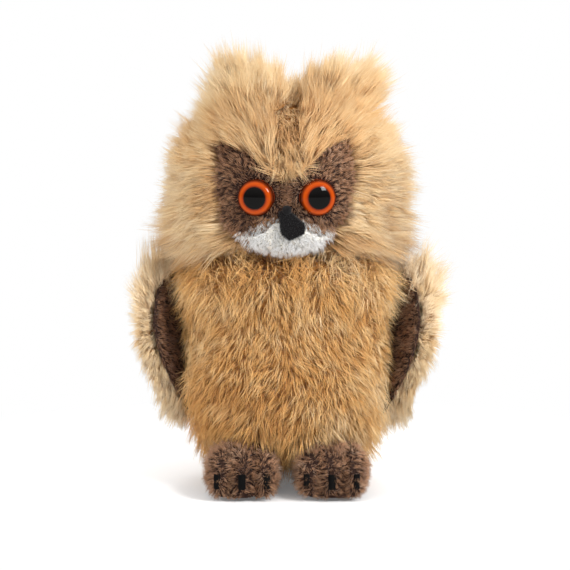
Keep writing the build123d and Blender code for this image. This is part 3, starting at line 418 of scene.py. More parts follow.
def spikes(name, start, middle, end, width, shade, material, rng):
    """One mesh of closed, tapered, three-sided spikes with their tone and height stored."""
    count = len(start)
    along = unit(end - start)
    across = unit(np.cross(along, rng.normal(size=(count, 3))))
    over = np.cross(along, across)
    rings = []
    for base, size in ((start, 0.5), (middle, 0.42)):
        if base is None:
            continue
        for corner in range(3):
            turn = 2 * math.pi * corner / 3
            outward = across * math.cos(turn) + over * math.sin(turn)
            rings.append(base + outward * (width * size)[:, None])
    rings.append(end)
    places = np.stack(rings, 1).reshape(-1, 3) * MM
    tip = len(rings) - 1
    faces = [(2, 1, 0), (tip - 3, tip - 2, tip), (tip - 2, tip - 1, tip), (tip - 1, tip - 3, tip)]
    if tip == 6:
        faces += [(0, 1, 4, 3), (1, 2, 5, 4), (2, 0, 3, 5)]
    sizes = np.tile([len(f) for f in faces], count)
    flat = np.array([i for f in faces for i in f])
    loops = (flat[None, :] + len(rings) * np.arange(count)[:, None]).reshape(-1)
    mesh = bpy.data.meshes.new(name)
    mesh.vertices.add(len(places))
    mesh.vertices.foreach_set("co", places.astype(np.float32).ravel())
    mesh.loops.add(len(loops))
    mesh.loops.foreach_set("vertex_index", loops.astype(np.int32))
    mesh.polygons.add(len(sizes))
    begins = np.concatenate([[0], np.cumsum(sizes)[:-1]])
    mesh.polygons.foreach_set("loop_start", begins.astype(np.int32))
    mesh.update(calc_edges=True)
    spread = np.array([-0.03, 0.0, 0.03] * (tip // 3) + [0.0])
    height = np.array([0.02] * 3 + [0.48] * (tip - 3) + [0.98])
    u = (shade[:, None] + spread[None, :]).reshape(-1)
    v = np.tile(height, count)
    strand = mesh.attributes.new("strand", "FLOAT_VECTOR", "POINT")
    along_strand = np.stack([u, v, np.zeros_like(u)], 1)
    strand.data.foreach_set("vector", along_strand.astype(np.float32).ravel())
    chart = mesh.uv_layers.new(name="OFBake")
    chart.data.foreach_set("uv", np.stack([u, v], 1)[loops].astype(np.float32).ravel())
    mesh.materials.append(material)
    mesh.shade_smooth()
    made = bpy.data.objects.new(name, mesh)
    bpy.context.scene.collection.objects.link(made)
    print(name, count, "fibres")
    return made


print("fibres bend at", KINK, "of their length")

# %% [markdown]
# ## Stuffed skins
# Each stuffed part is first a smooth padded form, which carries the fibres and closes the gaps
# between them. The body and the head start as spheres whose rings are drawn to the body's outline,
# a little inside the height of the pile. The others start as a copy of their CAD solid, remeshed
# into even cloth, smoothed, and drawn in by the height of their own pile.


# %% Skins
def dress(piece, material, body, *nodes, slot=None):
    """Gives a piece its material and body, and hides the CAD solids that it stands for."""
    if material is not None:
        piece.data.materials.clear()
        piece.data.materials.append(material)
    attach(piece, body)
    if nodes:
        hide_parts(*nodes)
    return piece


def fixed_order(mesh):
    """Put a mesh's faces in one order, because a new sphere lists them differently in each run."""
    places = [tuple(vertex.co) for vertex in mesh.vertices]
    faces = [tuple(face.vertices) for face in mesh.polygons]
    faces = sorted(face[face.index(min(face)):] + face[:face.index(min(face))] for face in faces)
    mesh.clear_geometry()
    mesh.from_pydata(places, [], faces)


def turned_skin(name, outline, rings=72, segments=120):
    """A closed skin of revolution from (radius, height) points of an outline, bottom to top."""
    bpy.ops.mesh.primitive_uv_sphere_add(segments=segments, ring_count=rings, radius=1)
    made = bpy.context.object
    made.name = name
    r, z = np.array(outline, float).T
    run = np.concatenate([[0], np.cumsum(np.hypot(np.diff(r), np.diff(z)))])
    for vertex in made.data.vertices:
        x, y, up = vertex.co
        share = 1 - math.acos(max(-1.0, min(1.0, up))) / math.pi
        radius = float(np.interp(share * run[-1], run, r))
        height = float(np.interp(share * run[-1], run, z))
        flat = math.hypot(x, y)
        if flat > 1e-6:
            x, y = x / flat, y / flat
        vertex.co = (x * radius * MM, y * radius * MM, height * MM)
    fixed_order(made.data)
    made.data.shade_smooth()
    made.data.update()
    made.select_set(False)
    return made


def curve_outline(low, high, widest_low, widest_high, radius, base, top):
    """Outline of a barrel: flat base and top radii, with rounded lower and upper edges."""
    quarter = [math.pi / 2 * step / 16 for step in range(17)]
    lower = [(base + (radius - base) * math.sin(turn),
              widest_low - (widest_low - low) * math.cos(turn)) for turn in quarter]
    upper = [(top + (radius - top) * math.cos(turn),
              widest_high + (high - widest_high) * math.sin(turn)) for turn in quarter]
    return [(0.0, low)] + lower + upper + [(0.0, high)]


CLOTH = 2.1                # the body's skin lies this far inside the CAD outline, round the filling
HEAD_CLOTH = 1.2           # thinner, because the filling of the crown is fuller than an ellipse
body_outline = curve_outline(body_low[2] + CLOTH, body_high[2] - CLOTH, 58.0, 84.0,
                             body_high[0] - CLOTH, 26.0, 34.0)
head_outline = curve_outline(head_low[2] + HEAD_CLOTH, head_high[2] - HEAD_CLOTH, 124.0, 134.0,
                             head_high[0] - HEAD_CLOTH, 31.0, 0.0)
body_skin = turned_skin("body_skin", body_outline)
dress(body_skin, tan_backing, "torso", "body_plush", slot="tan_pile")
head_skin = turned_skin("head_skin", head_outline)
dress(head_skin, tan_backing, "head", "head_plush", slot="tan_pile")


def evened(piece, voxel, smooth, inset=0.0):
    """Makes a piece even cloth: remeshed, smoothed and drawn in by inset millimetres."""
    even = piece.modifiers.new("even", "REMESH")
    even.mode = "VOXEL"
    even.voxel_size = voxel * MM
    relax = piece.modifiers.new("relax", "SMOOTH")
    relax.factor = 0.5
    relax.iterations = smooth
    if inset:
        draw_in = piece.modifiers.new("draw_in", "DISPLACE")
        draw_in.strength = -inset * MM
        draw_in.mid_level = 0.0
    for modifier in list(piece.modifiers):
        bpy.ops.object.modifier_apply(modifier=modifier.name)
    piece.data.shade_smooth()
    piece.select_set(False)


def padded_copy(name, node, inset, voxel, smooth):
    """A stuffed skin from a copy of a CAD solid."""
    made = frame["nodes"][node].copy()
    made.data = frame["nodes"][node].data.copy()
    made.parent = None
    made.name = name
    made.matrix_world = frame["nodes"][node].matrix_world
    made.data.transform(made.matrix_world)
    made.matrix_world.identity()
    bpy.context.scene.collection.objects.link(made)
    made.hide_render = False
    made.hide_set(False)
    bpy.context.view_layer.objects.active = made
    made.select_set(True)
    weld = made.modifiers.new("weld", "WELD")
    weld.merge_threshold = 1e-5
    evened(made, voxel, smooth, inset)
    return made


SIDES = (("left", -1), ("right", 1))
HANG_TOP, HANG_RUN = 74, 44  # a wing leans in from this height down, fully this much lower
HANG_IN = 4.5              # how far its tip leans in
wing_skins, lining_skins, tuft_skins, foot_skins = {}, {}, {}, {}
for side, sign in SIDES:
    wing_skins[side] = padded_copy(f"{side}_wing_skin", f"{side}_wing_plush", 2.9, 1.6, 10)
    dress(wing_skins[side], tan_backing, f"{side}_wing", f"{side}_wing_plush", slot="tan_pile")
    lining_skins[side] = padded_copy(f"{side}_lining_skin", f"{side}_wing_lining", -0.1, 0.7, 2)
    for skin in (wing_skins[side], lining_skins[side]):
        for vertex in skin.data.vertices:
            hang = portion((HANG_TOP - vertex.co.z / MM) / HANG_RUN)
            vertex.co.x -= sign * HANG_IN * hang * MM
        skin.data.update()
    dress(lining_skins[side], brown_backing, f"{side}_wing", f"{side}_wing_lining",
          slot="brown_pile")
    tuft_skins[side] = padded_copy(f"{side}_tuft_skin", f"{side}_brow_tuft", 4.2, 1.4, 14)
    dress(tuft_skins[side], tan_backing, "head", f"{side}_brow_tuft", slot="tan_pile")
    foot_skins[side] = padded_copy(f"{side}_foot_skin", f"{side}_foot", 2.2, 1.6, 12)
    dress(foot_skins[side], brown_backing, "torso", f"{side}_foot", slot="brown_pile")
tail_skin = padded_copy("tail_skin", "tail", 3.0, 2.0, 14)
dress(tail_skin, tan_backing, "torso", "tail", slot="tan_pile")
muzzle_skin = padded_copy("muzzle_skin", "muzzle", 1.5, 1.0, 4)
dress(muzzle_skin, white_backing, "head", "muzzle", slot="white_pile")
print("skins ready")

# %% [markdown]
# ## The face
# The face is cut from three fabrics. Two brown pieces meet between the eyes and run up under the
# brows, a white piece rounds the chin, and everything else is tan. Their outlines are drawn once
# here, seen from the front, and used for the skins and for which fibre grows where.

# %% Face outlines
EYE_X, EYE_Z, EYE_R = 13.3, 132.0, 8.0
FACE_FRONT = -8            # the face's outlines only cut what lies in front of this
FACE = {
    "left": [(-37.0, 167.0), (-22.0, 154.0), (-6.0, 142.0), (0.0, 138.0), (0.0, 124.0),
             (-7.5, 123.5), (-17.0, 118.5), (-23.0, 116.5), (-27.0, 122.0), (-28.6, 134.0),
             (-28.0, 147.0), (-34.0, 160.0)],
    "right": [(37.0, 168.5), (22.0, 156.0), (6.0, 142.0), (0.0, 138.0), (0.0, 124.0),
              (7.5, 123.5), (15.0, 119.5), (21.0, 118.5), (25.5, 126.0), (26.8, 138.0),
              (26.0, 150.0), (33.0, 162.0)],
}
CHIN = [(-23.0, 116.5), (-17.0, 118.5), (-7.5, 123.5), (0.0, 126.5), (7.5, 123.5),
        (15.0, 119.5), (21.0, 118.0), (15.0, 109.0), (0.0, 105.5), (-15.0, 109.0)]
PATCH_THICK = 1.6


def face_region(points):
    """0 for tan, 1 for brown and 2 for white, for points on the head."""
    x, y, z = points.T
    front = y < FACE_FRONT
    brown = front & (inside(FACE["left"], x, z) | inside(FACE["right"], x, z))
    white = front & inside(CHIN, x, z)
    return np.where(white, 2, np.where(brown, 1, 0))


def eye_distance(points):
    """Distance from the nearer eye's axis, seen from the front."""
    return np.hypot(np.abs(points[:, 0]) - EYE_X, points[:, 2] - EYE_Z)


for side, sign in SIDES:
    patch = head_skin.copy()
    patch.data = head_skin.data.copy()
    patch.parent = None
    patch.name = f"{side}_patch_skin"
    bpy.context.scene.collection.objects.link(patch)
    for key in list(patch.keys()):
        del patch[key]
    centres = np.array([p.center for p in patch.data.polygons]) / MM
    wanted = (centres[:, 1] < FACE_FRONT) & inside(FACE[side], centres[:, 0], centres[:, 2])
    bpy.context.view_layer.objects.active = patch
    patch.select_set(True)
    bpy.ops.object.mode_set(mode="EDIT")
    bpy.ops.mesh.select_all(action="DESELECT")
    bpy.ops.object.mode_set(mode="OBJECT")
    patch.data.polygons.foreach_set("select", ~wanted)
    bpy.ops.object.mode_set(mode="EDIT")
    bpy.ops.mesh.delete(type="FACE")
    bpy.ops.object.mode_set(mode="OBJECT")
    thick = patch.modifiers.new("thick", "SOLIDIFY")
    thick.thickness = PATCH_THICK * MM
    thick.offset = 1.0
    bpy.ops.object.modifier_apply(modifier="thick")
    patch.select_set(False)
    dress(patch, brown_backing, "head", f"{side}_eye_patch", slot="brown_pile")
print("face patches ready")

# %% [markdown]
# ## Combing
# Each fabric has its nap, the way its fibres lie. The belly lies down and slightly out. The head's
# long pile parts at the face and flows away from it. The brows sweep up and outwards into tufts,
# and the wings' pile hangs outwards and down.

# %% Combing fields
DOWN = np.array([0.0, 0.0, -1.0])
FACE_CENTRE = np.array([0.0, -46.0, 128.0])
BROW_ROOT = np.array([0.0, -40.0, 130.0])
SHOULDER_X, SHOULDER_Z = 46.0, 70.0


def wander(points, size, seed, amount):
    """How far a nap strays from its way: a smooth wave along each axis."""
    return np.stack([wave(points, size, seed + axis) for axis in range(3)], 1) * amount


def belly_comb(points, normals):
    """Down, leaning out at the root, and straying only sideways."""
    drift = wander(points, 14, 1, 0.35) * [1, 1, 0]
    return normals * 0.95 + DOWN * 0.35 + drift, normals * 0.42 + DOWN * 0.75 + drift * 1.4


def head_comb(points, normals):
    """Brows fan up from between the eyes, cheeks flow out and down, the middle falls."""
    x, z = points[:, :1], points[:, 2:3]
    fan = unit((points - BROW_ROOT) * [1.0, 0.25, 1.0])
    away = points - FACE_CENTRE
    away = unit(away - (away * normals).sum(1, keepdims=True) * normals)
    brow = ((z - 140) / 8).clip(0, 1) * (points[:, 1:2] < FACE_FRONT)
    middle = brow * (np.abs(x) < 5) * (z < 170)
    low = z < 125
    outwards = np.sign(x) * np.array([[0.35, 0.0, 0.0]]) * (1 + low)
    cheek = away * 0.8 + outwards + DOWN * (0.35 + 0.10 * low)
    way = brow * fan + (1 - brow) * cheek
    way = (1 - middle) * way + middle * (DOWN * 0.9)
    drift = wander(points, 16, 3, 0.25)
    return normals * 0.75 + way * 0.6 + drift, normals * 0.35 + way + drift * 1.4


def tuft_comb(points, normals):
    """Fanned up and outwards from between the eyes."""
    fan = unit((points - BROW_ROOT) * [1.0, 0.3, 1.0])
    drift = wander(points, 12, 6, 0.22)
    return normals * 0.6 + fan * 0.7 + drift, normals * 0.35 + fan + drift


def wing_comb(points, normals):
    """Radiating from the shoulder: up at the top, out at the middle, down at the tip."""
    hub = np.stack([np.sign(points[:, 0]) * SHOULDER_X, np.zeros(len(points)),
                    np.full(len(points), SHOULDER_Z)], 1)
    ray = unit((points - hub) * [0.55, 0.4, 1.0])
    drift = wander(points, 15, 9, 0.28)
    at_tip = normals * 0.05 + ray + DOWN * 0.35 * (points[:, 2:3] < 84) + drift * 1.2
    return normals * 0.6 + ray * 0.5 + drift, at_tip


def short_comb(points, normals):
    """Nearly upright, slightly ruffled."""
    drift = wander(points, 5, 12, 0.35)
    return normals + DOWN * 0.15 + drift, normals * 0.8 + DOWN * 0.35 + drift


print("naps ready: belly, head, tufts, wings and short pile")


# %% Growing the tan pile
def belly_tone(points):
    """Warm caramel: mottled, paler on the chest, darker at the centre seam; painted light paler to
    the right.
    """
    seam = np.exp(-(points[:, 0] / 1.6) ** 2) * (points[:, 1] < 0) * 0.22
    # side is painted light: a paler tone towards the right, where the key lamp falls, and a darker
    # one on the left.
    side = (points[:, 0] / 42).clip(-0.4, 1)
    return (0.50 + 0.12 * side + 0.06 * (points[:, 2] > 72)
            + 0.20 * wave(points, 9, 21) + 0.12 * wave(points, 28, 22) - seam)


def head_tone(points):
    """Paler towards the sides and on the brow tufts, darker on the forehead and low down."""
    side = (np.abs(points[:, 0]) / 45).clip(0, 1)
    return (0.46 + 0.20 * side + 0.10 * (points[:, 2] > 168) - 0.10 * (points[:, 2] < 118)
            + 0.12 * wave(points, 8, 23) + 0.08 * wave(points, 25, 24))


def wing_tone(points):
    """The palest pile, gently mottled."""
    return 0.86 + 0.10 * wave(points, 8, 25) + 0.08 * wave(points, 25, 26)


def brown_tone(points):
    """Mottled brown."""
    return 0.5 + 0.2 * wave(points, 5, 27)


def belly_length(points):
    """Longer at the hem, under the chin and at the shoulders, short beside the wings' linings."""
    front = np.interp(points[:, 2], [15, 40, 75, 98], [14.0, 12.5, 10.0, 18.0])
    flank = np.interp(points[:, 2], [15, 42, 60, 78, 88, 98],
                      [15.0, 14.0, 9.0, 9.0, 15.0, 18.0])
    beside = ((np.abs(points[:, 0]) - 28) / 8).clip(0, 1)
    return front + (flank - front) * beside


def bare_top(points):
    """The body's top, which the head hides, carries no pile."""
    return (np.hypot(points[:, 0], points[:, 1]) < 29) & (points[:, 2] > 100)


front_half = lambda points: (points[:, 1] < -2) & ~bare_top(points)
back_half = lambda points: (points[:, 1] >= -2) & ~bare_top(points)
for name, keep in (("belly_pile", front_half), ("back_pile", back_half)):
    coat(name, body_skin, "torso", 11000, 15000, belly_length, belly_comb, belly_tone, keep=keep,
         width=0.28, pile=caramel_pile)


def tan_head(points):
    """Where the head's long pile grows: not on the face, nor underneath, facing the body."""
    x, y, z = points.T
    flat = np.hypot(x, y)
    beneath = np.where(y < 0, (flat < 33) & (z < 110), (flat < 38) & (z < 113))
    return (face_region(points) == 0) & ~beneath


def head_length(points):
    """Long at the cheeks, the back and the fan of the brows, short at the face and between them."""
    x, y, z = points.T
    near = (np.hypot(x / 30, (z - 132) / 24) - 0.8).clip(0, 1)
    chin = (z < 112) & (y < -20)
    brow = (z > 141) & (y < FACE_FRONT)
    low = ((126 - z) / 12).clip(0, 1) * (np.abs(x) > 16)
    fan = ((z - 148) / 14).clip(0, 1) * np.interp(np.abs(x), [4, 12, 26, 34], [0.0, 1.0, 1.0, 0.0])
    front = np.where(brow, 13.0 + 8.0 * fan, 8.0 + 9.0 * near + 7.0 * low)
    long = np.where(chin, 7.0, np.where(y < -10, front, 14.0 + 8.0 * low))
    valley = np.exp(-(x / 7) ** 2) * ((z - 158) / 8).clip(0, 1) * ((-4 - y) / 10).clip(0, 1)
    return long * (1 - 0.6 * valley)


left_front = lambda points: tan_head(points) & (points[:, 1] < 0) & (points[:, 0] < 0)
right_front = lambda points: tan_head(points) & (points[:, 1] < 0) & (points[:, 0] >= 0)
head_back = lambda points: tan_head(points) & (points[:, 1] >= 0)
for name, keep in (("left_cheek_pile", left_front), ("right_cheek_pile", right_front),
                   ("head_back_pile", head_back)):
    coat(name, head_skin, "head", 10800, 14000, head_length, head_comb, head_tone, keep=keep,
         lock=2.6)


def tuft_length(points):
    """Nearly even, a little longer towards the tips."""
    return np.interp(points[:, 2], [150, 172], [17.0, 19.0])


TUFT_BACK = 9.0            # how far a tuft's base is set back
TUFT_LEAN = {"left": 9.0, "right": 4.0}  # how far a tuft's top leans in
TUFT_TOP, TUFT_SQUEEZE = 168, 0.55       # what lies above TUFT_TOP is squeezed to this share
for side, sign in SIDES:
    mesh = tuft_skins[side].data
    for vertex in mesh.vertices:
        x, y, z = (c / MM for c in vertex.co)
        back = TUFT_BACK * portion((162 - z) / 14)
        lean = TUFT_LEAN[side] * portion((z - 150) / 24)
        if z > TUFT_TOP:
            z = TUFT_TOP + (z - TUFT_TOP) * TUFT_SQUEEZE
        vertex.co = ((x - sign * lean) * MM, (y + back) * MM, z * MM)
    mesh.update()
    coat(f"{side}_tuft_pile", tuft_skins[side], "head", 8800, 10000, tuft_length, tuft_comb,
         head_tone, lock=2.6)

# %% [markdown]
# ## Wings
# A wing is a flat bag of long pile, lined on the side that faces the body with dark brown plush.
# The long pile only grows outside and on the edge, so the lining shows as a dark crescent.

# %% Wing pile and lining
WING_TOE, WING_LEAN = math.radians(20.0), math.radians(6.0)
LINING_X, LINING_Z = 51.0, 62.0  # a point on the wing's inner face


def from_lining(points, sign):
    """Distance of points from the wing's inner face, positive away from the body."""
    way = np.array([sign * math.cos(WING_TOE) * math.cos(WING_LEAN),
                    math.sin(WING_TOE) * math.cos(WING_LEAN), -math.sin(WING_LEAN)])
    hang = ((HANG_TOP - points[:, 2]) / HANG_RUN).clip(0, 1)
    place = points + np.outer(HANG_IN * hang, [sign, 0, 0])
    return (place - np.array([sign * LINING_X, 0.0, LINING_Z])) @ way


def wing_length(points):
    """Longest at the top edge, shortest half way up, a little longer at the tip."""
    return np.interp(points[:, 2], [28, 50, 74, 86, 94], [12.0, 9.0, 7.5, 14.0, 24.0])


for side, sign in SIDES:
    coat(f"{side}_wing_pile", wing_skins[side], f"{side}_wing", 11500, 13500, wing_length,
         wing_comb, wing_tone, lock=3.0, keep=lambda p, s=sign: from_lining(p, s) > 2.2)
    # The lining is a darker brown all over; its 0.10 * s term is painted light, the right lining
    # paler and the left darker.
    fur = grow(f"{side}_lining_pile", lining_skins[side], 5500, 3.0, short_comb, brown_pile,
               lambda p, s=sign: brown_tone(p) - 0.18 + 0.10 * s, bent=False, lock=2.0,
               keep=lambda p, s=sign: from_lining(p, s) < -0.5)
    dress(fur, None, f"{side}_wing", slot="brown_pile")

# %% [markdown]
# ## Feet and tail
# Each foot is a small bag of short brown plush, rounded at its sides and drawn in by a stitch
# between its toes, which swell out to meet the sewn claws. The tail is a plain stuffed wedge of the
# body's own pile, which helps the owl to stand.

# %% Feet and tail
TOE_STEP = 10.6            # from one toe's middle to the next
SEAM_DEPTH, SEAM_WIDTH = 2.6, 1.8        # the stitch between two toes
TOE_ROUND, INSTEP, FOOT_SIDE = 2.6, 13.0, 5.0  # how far toes' edges, instep and sides step back
SWELL_MIDDLE, SWELL_OUTER = 0.8, 2.4     # how far a toe swells forward to meet its claw
BOXINESS = 2.6             # power of the foot's rounded section, where 2 is an ellipse

foot_middle = {side: float(np.mean([box_mm(f"{side}_foot")[0][0], box_mm(f"{side}_foot")[1][0]]))
               for side, sign in SIDES}
foot_low, foot_high = box_mm("left_foot")
foot_half, foot_rise = (foot_high[0] - foot_low[0]) / 2 - 1.5, (foot_high[2] - foot_low[2]) / 2
for side, sign in SIDES:
    mesh = foot_skins[side].data
    for vertex in mesh.vertices:
        x, y, z = (c / MM for c in vertex.co)
        front = portion((-34 - y) / 14)
        across = x - foot_middle[side]
        toe = min((-TOE_STEP, 0.0, TOE_STEP), key=lambda c: abs(across - c))
        round_toe = TOE_ROUND * min(1.0, ((across - toe) / (TOE_STEP / 2)) ** 2)
        instep = INSTEP * max(0.0, (z - 11) / 13) ** 2
        foot_side = FOOT_SIDE * max(0.0, (abs(across) - TOE_STEP) / 6.4) ** 2
        bump = math.exp(-((across - toe) / 4.5) ** 2 - ((z - 9) / 6) ** 2)
        swell = (SWELL_MIDDLE if toe == 0 else SWELL_OUTER) * bump
        vertex.co.y += front * (round_toe + instep + foot_side - swell) * MM
        vertex.co.z -= 0.25 * max(0.0, abs(across) - 8) * portion((z - 8) / 10) * MM
        bulge = (abs(across / foot_half) ** BOXINESS
                 + abs((z - foot_rise) / (foot_rise - 1)) ** BOXINESS) ** (1 / BOXINESS)
        if bulge > 1:
            vertex.co.x = (foot_middle[side] + across / bulge) * MM
            vertex.co.z += (z - foot_rise) * (1 / bulge - 1) * MM
        for seam in (-TOE_STEP / 2, TOE_STEP / 2):
            dip = SEAM_DEPTH * front * math.exp(-((x - foot_middle[side] - seam) / SEAM_WIDTH) ** 2)
            vertex.co = vertex.co - vertex.normal * dip * MM
    mesh.update()
    fur = grow(f"{side}_foot_pile", foot_skins[side], 8000, 3.8, short_comb, brown_pile, brown_tone,
               bent=False, keep=lambda p: p[:, 2] > 2.5, lock=1.8)
    dress(fur, None, "torso", slot="brown_pile")
coat("tail_pile", tail_skin, "torso", 3600, 4500, lambda p: np.full(len(p), 9.0), belly_comb,
     belly_tone, pile=caramel_pile, keep=lambda p: p[:, 2] > 3.0)

# %% [markdown]
# ## Face piles
# The brown patches and the white chin are short pile. It parts round each eye, so the fibres just
# overlap the edge of the dome.

# %% Face piles
def patch_comb(points, normals):
    """Away from the nearer eye, then down."""
    x, y = points[:, 0], points[:, 1]
    eye = np.stack([np.sign(x) * EYE_X, y, np.full(len(x), EYE_Z)], 1)
    away = unit(points - eye)
    drift = wander(points, 5, 15, 0.25)
    return normals + away * 0.2 + drift, normals * 0.8 + away * 0.5 + DOWN * 0.1 + drift


def chin_comb(points, normals):
    """Down and away from the beak."""
    side = np.sign(points[:, :1]) * np.array([[0.35, 0.0, 0.0]])
    return normals + DOWN * 0.2, normals * 0.6 + DOWN * 0.6 + side


for side, sign in SIDES:
    # The 0.12 * s term is painted light: the right patch paler, where the key lamp falls, and the
    # left darker.
    fur = grow(f"{side}_patch_pile", bpy.data.objects[f"{side}_patch_skin"], 7000, 3.6, patch_comb,
               brown_pile, lambda p, s=sign: brown_tone(p) + 0.12 * s, bent=False, lock=1.8,
               keep=lambda p: (eye_distance(p) > EYE_R - 0.5) & (np.hypot(p[:, 0], p[:, 1]) > 36))
    dress(fur, None, "head", slot="brown_pile")
fur = grow("chin_pile", head_skin, 5000, 4.2, chin_comb, white_pile,
           lambda p: 0.6 + 0.15 * wave(p, 5, 29), bent=False, lock=1.8,
           keep=lambda p: face_region(p) == 2)
dress(fur, None, "head", slot="white_pile")
fur = grow("muzzle_pile", muzzle_skin, 8000, 3.6, chin_comb, white_pile,
           lambda p: 0.6 + 0.15 * wave(p, 5, 28), bent=False, lock=1.8,
           keep=lambda p: p[:, 1] < -36)
dress(fur, None, "head", slot="white_pile")

# %% [markdown]
# ## Eyes
# A safety eye is moulded in one piece, a painted disc under a clear dome, held by a washer behind
# the cloth. Ray-traced clear plastic doesn't survive every viewer, so the dome here carries the
# colours itself, under a clear coat that gives the wet highlight. Its ring attribute says how far
# each point lies from the middle.

# %% Eyes
def eye_material():
    """Painted rings under clear acrylic: black pupil, orange iris, and a dark rim that is partly
    the dark back, partly painted shade.
    """
    made, tree = new_material("moulded_acrylic_eye")
    ring = add_node(tree, "ShaderNodeAttribute", {"attribute_name": "ring"})
    # The last stops darken the edge: partly the eye's dark back, partly painted shade where the fur
    # meets the dome.
    rings = ramp(tree, ring.outputs["Fac"],
                 ((0.0, "#050404"), (0.585, "#080605"), (0.625, "#6A2206"), (0.70, "#A43A03"),
                  (0.82, "#B54605"), (0.91, "#6A2404"), (1.0, "#1E0C05")))
    shader = add_node(tree, "ShaderNodeBsdfPrincipled",
                      {"Roughness": 0.3, "Specular IOR Level": 0.0, "Coat Weight": 0.3,
                       "Coat Roughness": 0.03}, {"Base Color": rings.outputs[0]})
    add_node(tree, "ShaderNodeOutputMaterial", None, {"Surface": shader.outputs[0]})
    return made


eye_plastic = eye_material()
LENS_RISE, EYE_TILT = 4.2, math.radians(12.0)
for side, sign in SIDES:
    low, high = box_mm(f"{side}_eye_lens")
    bpy.ops.mesh.primitive_uv_sphere_add(segments=96, ring_count=48, radius=1)
    dome = bpy.context.object
    dome.name = f"{side}_eye_dome"
    bpy.ops.object.mode_set(mode="EDIT")
    bpy.ops.mesh.select_all(action="SELECT")
    bpy.ops.mesh.bisect(plane_co=(0, 0, -0.02), plane_no=(0, 0, 1), use_fill=True, clear_inner=True)
    bpy.ops.object.mode_set(mode="OBJECT")
    fixed_order(dome.data)
    places = np.empty(len(dome.data.vertices) * 3)
    dome.data.vertices.foreach_get("co", places)
    places = places.reshape(-1, 3)
    ring = dome.data.attributes.new("ring", "FLOAT", "POINT")
    ring.data.foreach_set("value", np.hypot(places[:, 0], places[:, 1]).astype(np.float32))
    face = np.array([sign * math.sin(EYE_TILT), -math.cos(EYE_TILT), 0.0])
    across = np.array([math.cos(EYE_TILT), sign * math.sin(EYE_TILT), 0.0])
    centre = np.array([sign * EYE_X, low[1] + LENS_RISE * math.cos(EYE_TILT), EYE_Z])
    shaped = (centre + np.outer(places[:, 0] * EYE_R, across)
              + np.outer(places[:, 1] * EYE_R, [0, 0, 1])
              + np.outer(places[:, 2] * LENS_RISE, face))
    dome.data.vertices.foreach_set("co", (shaped * MM).astype(np.float32).ravel())
    dome.data.update()
    bpy.ops.object.mode_set(mode="EDIT")
    bpy.ops.mesh.select_all(action="SELECT")
    bpy.ops.mesh.normals_make_consistent(inside=False)
    bpy.ops.object.mode_set(mode="OBJECT")
    dome.data.shade_smooth()
    dome.select_set(False)
    dress(dome, eye_plastic, "head", f"{side}_eye_lens", f"{side}_pupil", slot="clear_plastic")
print("eyes ready")

# %% [markdown]
# ## Beak
# The beak is a folded scrap of black wool felt. Felt has no weave, only matted fibres, so a soft
# bump and a fringe of very short fibres take away the hard edge.

# %% Beak
felt_material = grained_material(
    "black_wool_felt", "#050405", "#171516", 1400.0, 0.2, 0.7, 0.0004,
    {"Roughness": 0.9, "Specular IOR Level": 0.15, "Sheen Weight": 0.08}, detail=5.0, rough=0.7)
FUZZ_ROOTS = ((0.0, "#0A090A"), (1.0, "#232122"))
FUZZ_TIPS = ((0.0, "#0E0C0D"), (1.0, "#242122"))
felt_fuzz = pile_material("black_felt_fuzz", FUZZ_ROOTS, FUZZ_TIPS)
BEAK = [(-3.2, 126.4), (1.6, 126.0), (7.6, 120.8), (7.4, 117.0), (1.0, 114.2), (-2.4, 117.0)]
KNOB_R, KNOB_Y, KNOB_Z = 2.1, -53.2, 127.0  # the small knob of felt above the beak


def felt_piece(name, outline, front_y, thick, slope):
    """A cut scrap of felt seen from the front, which leans forward towards its lower end."""
    bpy.ops.mesh.primitive_circle_add(vertices=len(outline), radius=1, fill_type="NGON")
    made = bpy.context.object
    made.name = name
    top = max(z for x, z in outline)
    for vertex, (x, z) in zip(made.data.vertices, outline):
        vertex.co = (x * MM, (front_y - (top - z) * slope) * MM, z * MM)
    bpy.ops.object.mode_set(mode="EDIT")
    bpy.ops.mesh.select_all(action="SELECT")
    bpy.ops.mesh.extrude_region_move(TRANSFORM_OT_translate={"value": (0, thick * MM, 0)})
    bpy.ops.mesh.select_all(action="SELECT")
    bpy.ops.mesh.normals_make_consistent(inside=False)
    bpy.ops.object.mode_set(mode="OBJECT")
    evened(made, 0.35, 5)
    return made


beak_skin = felt_piece("beak_felt", BEAK, -54.0, 6.0, 0.16)
dress(beak_skin, felt_material, "head", "beak", slot="black_felt")
bpy.ops.mesh.primitive_uv_sphere_add(segments=24, ring_count=16, radius=KNOB_R * MM)
knob = bpy.context.object
knob.name = "beak_knob"
for vertex in knob.data.vertices:
    vertex.co = (vertex.co.x, vertex.co.y * 1.2 + KNOB_Y * MM, vertex.co.z + KNOB_Z * MM)
fixed_order(knob.data)
knob.data.shade_smooth()
knob.select_set(False)
dress(knob, felt_material, "head", slot="black_felt")
fuzz = grow("beak_fuzz", beak_skin, 2500, 0.9, short_comb, felt_fuzz,
            lambda p: np.full(len(p), 0.5), width=0.12, lock=1.0, bent=False, sink=0.1)
dress(fuzz, None, "head", slot="black_felt")

# %% [markdown]
# ## Everything inside
# The parts behind the cloth keep their CAD shapes. Each slot of the record gets one finish, named
# for what the real part is made of.

# %% Finishes of the CAD parts
def plain_finish(name, low, high, grain, rough, metal=0.0, depth=0.0001, spec=0.5):
    """A moulded, cut or plated surface: two tones mixed by a noise of the given grain in mm."""
    return grained_material(name, low, high, 1000.0 / grain, 0.15, 0.3, depth,
                            {"Roughness": rough, "Metallic": metal, "Specular IOR Level": spec})


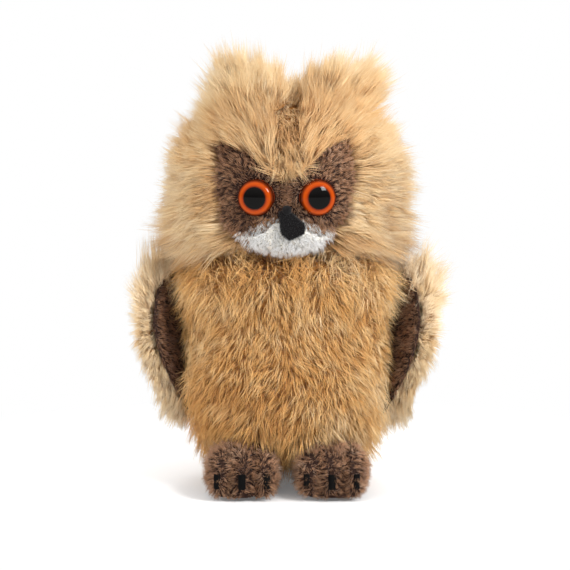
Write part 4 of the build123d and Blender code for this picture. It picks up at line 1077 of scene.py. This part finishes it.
FINISHES = {
    "tan_pile": tan_backing, "brown_pile": brown_backing, "white_pile": white_backing,
    "black_felt": felt_material,
    "claw_thread": plain_finish("black_embroidery_thread", "#040404", "#0C0B0B", 0.5, 0.85,
                                depth=0.0004, spec=0.1),
    "base_cloth": plain_finish("woven_base_cloth", "#6B4A30", "#7D593B", 0.8, 0.9,
                               depth=0.0003, spec=0.2),
    "filling": plain_finish("polyester_filling", "#E9E7E2", "#F8F7F4", 3.0, 0.95,
                            depth=0.001, spec=0.1),
    "iris_plastic": plain_finish("orange_moulded_acrylic", "#D9480C", "#EE5A12", 2.0, 0.25),
    "pupil_plastic": plain_finish("black_moulded_acrylic", "#080707", "#0E0D0D", 2.0, 0.2),
    "clear_plastic": plain_finish("clear_moulded_acrylic", "#F4F4F2", "#FFFFFF", 2.0, 0.1),
    "case_plastic": plain_finish("moulded_abs", "#34363A", "#3C3F44", 0.6, 0.5, depth=0.00005),
    "gear_plastic": plain_finish("moulded_acetal", "#E6E2D8", "#F2EFE8", 0.8, 0.35, depth=0.00005),
    "plated_steel": plain_finish("zinc_plated_steel", "#B4B6B8", "#CACCCE", 0.4, 0.3, metal=1.0,
                                 depth=0.00003),
    "cell_wrap": plain_finish("printed_cell_sleeve", "#2A4A3A", "#32553F", 4.0, 0.35),
    "speaker_paper": plain_finish("pressed_paper_cone", "#1E1D1C", "#2E2C2A", 0.5, 0.85,
                                  depth=0.0002, spec=0.2),
    "board_laminate": plain_finish("solder_masked_laminate", "#0E4A2C", "#14593A", 3.0, 0.4),
}
slots = {part["node"]: part["material_slot"] for part in frame["record"]["subparts"]}
for name, node in frame["nodes"].items():
    node.data.materials.clear()
    node.data.materials.append(FINISHES[slots[name]])
print("finishes ready:", len(FINISHES))

# %% Measure and finish
total = 0
for thing in bpy.data.objects:
    if thing.type == "MESH" and not thing.hide_render and thing.name != "studio_floor":
        thing.data.calc_loop_triangles()
        total += len(thing.data.loop_triangles)
print("triangles in all:", total)
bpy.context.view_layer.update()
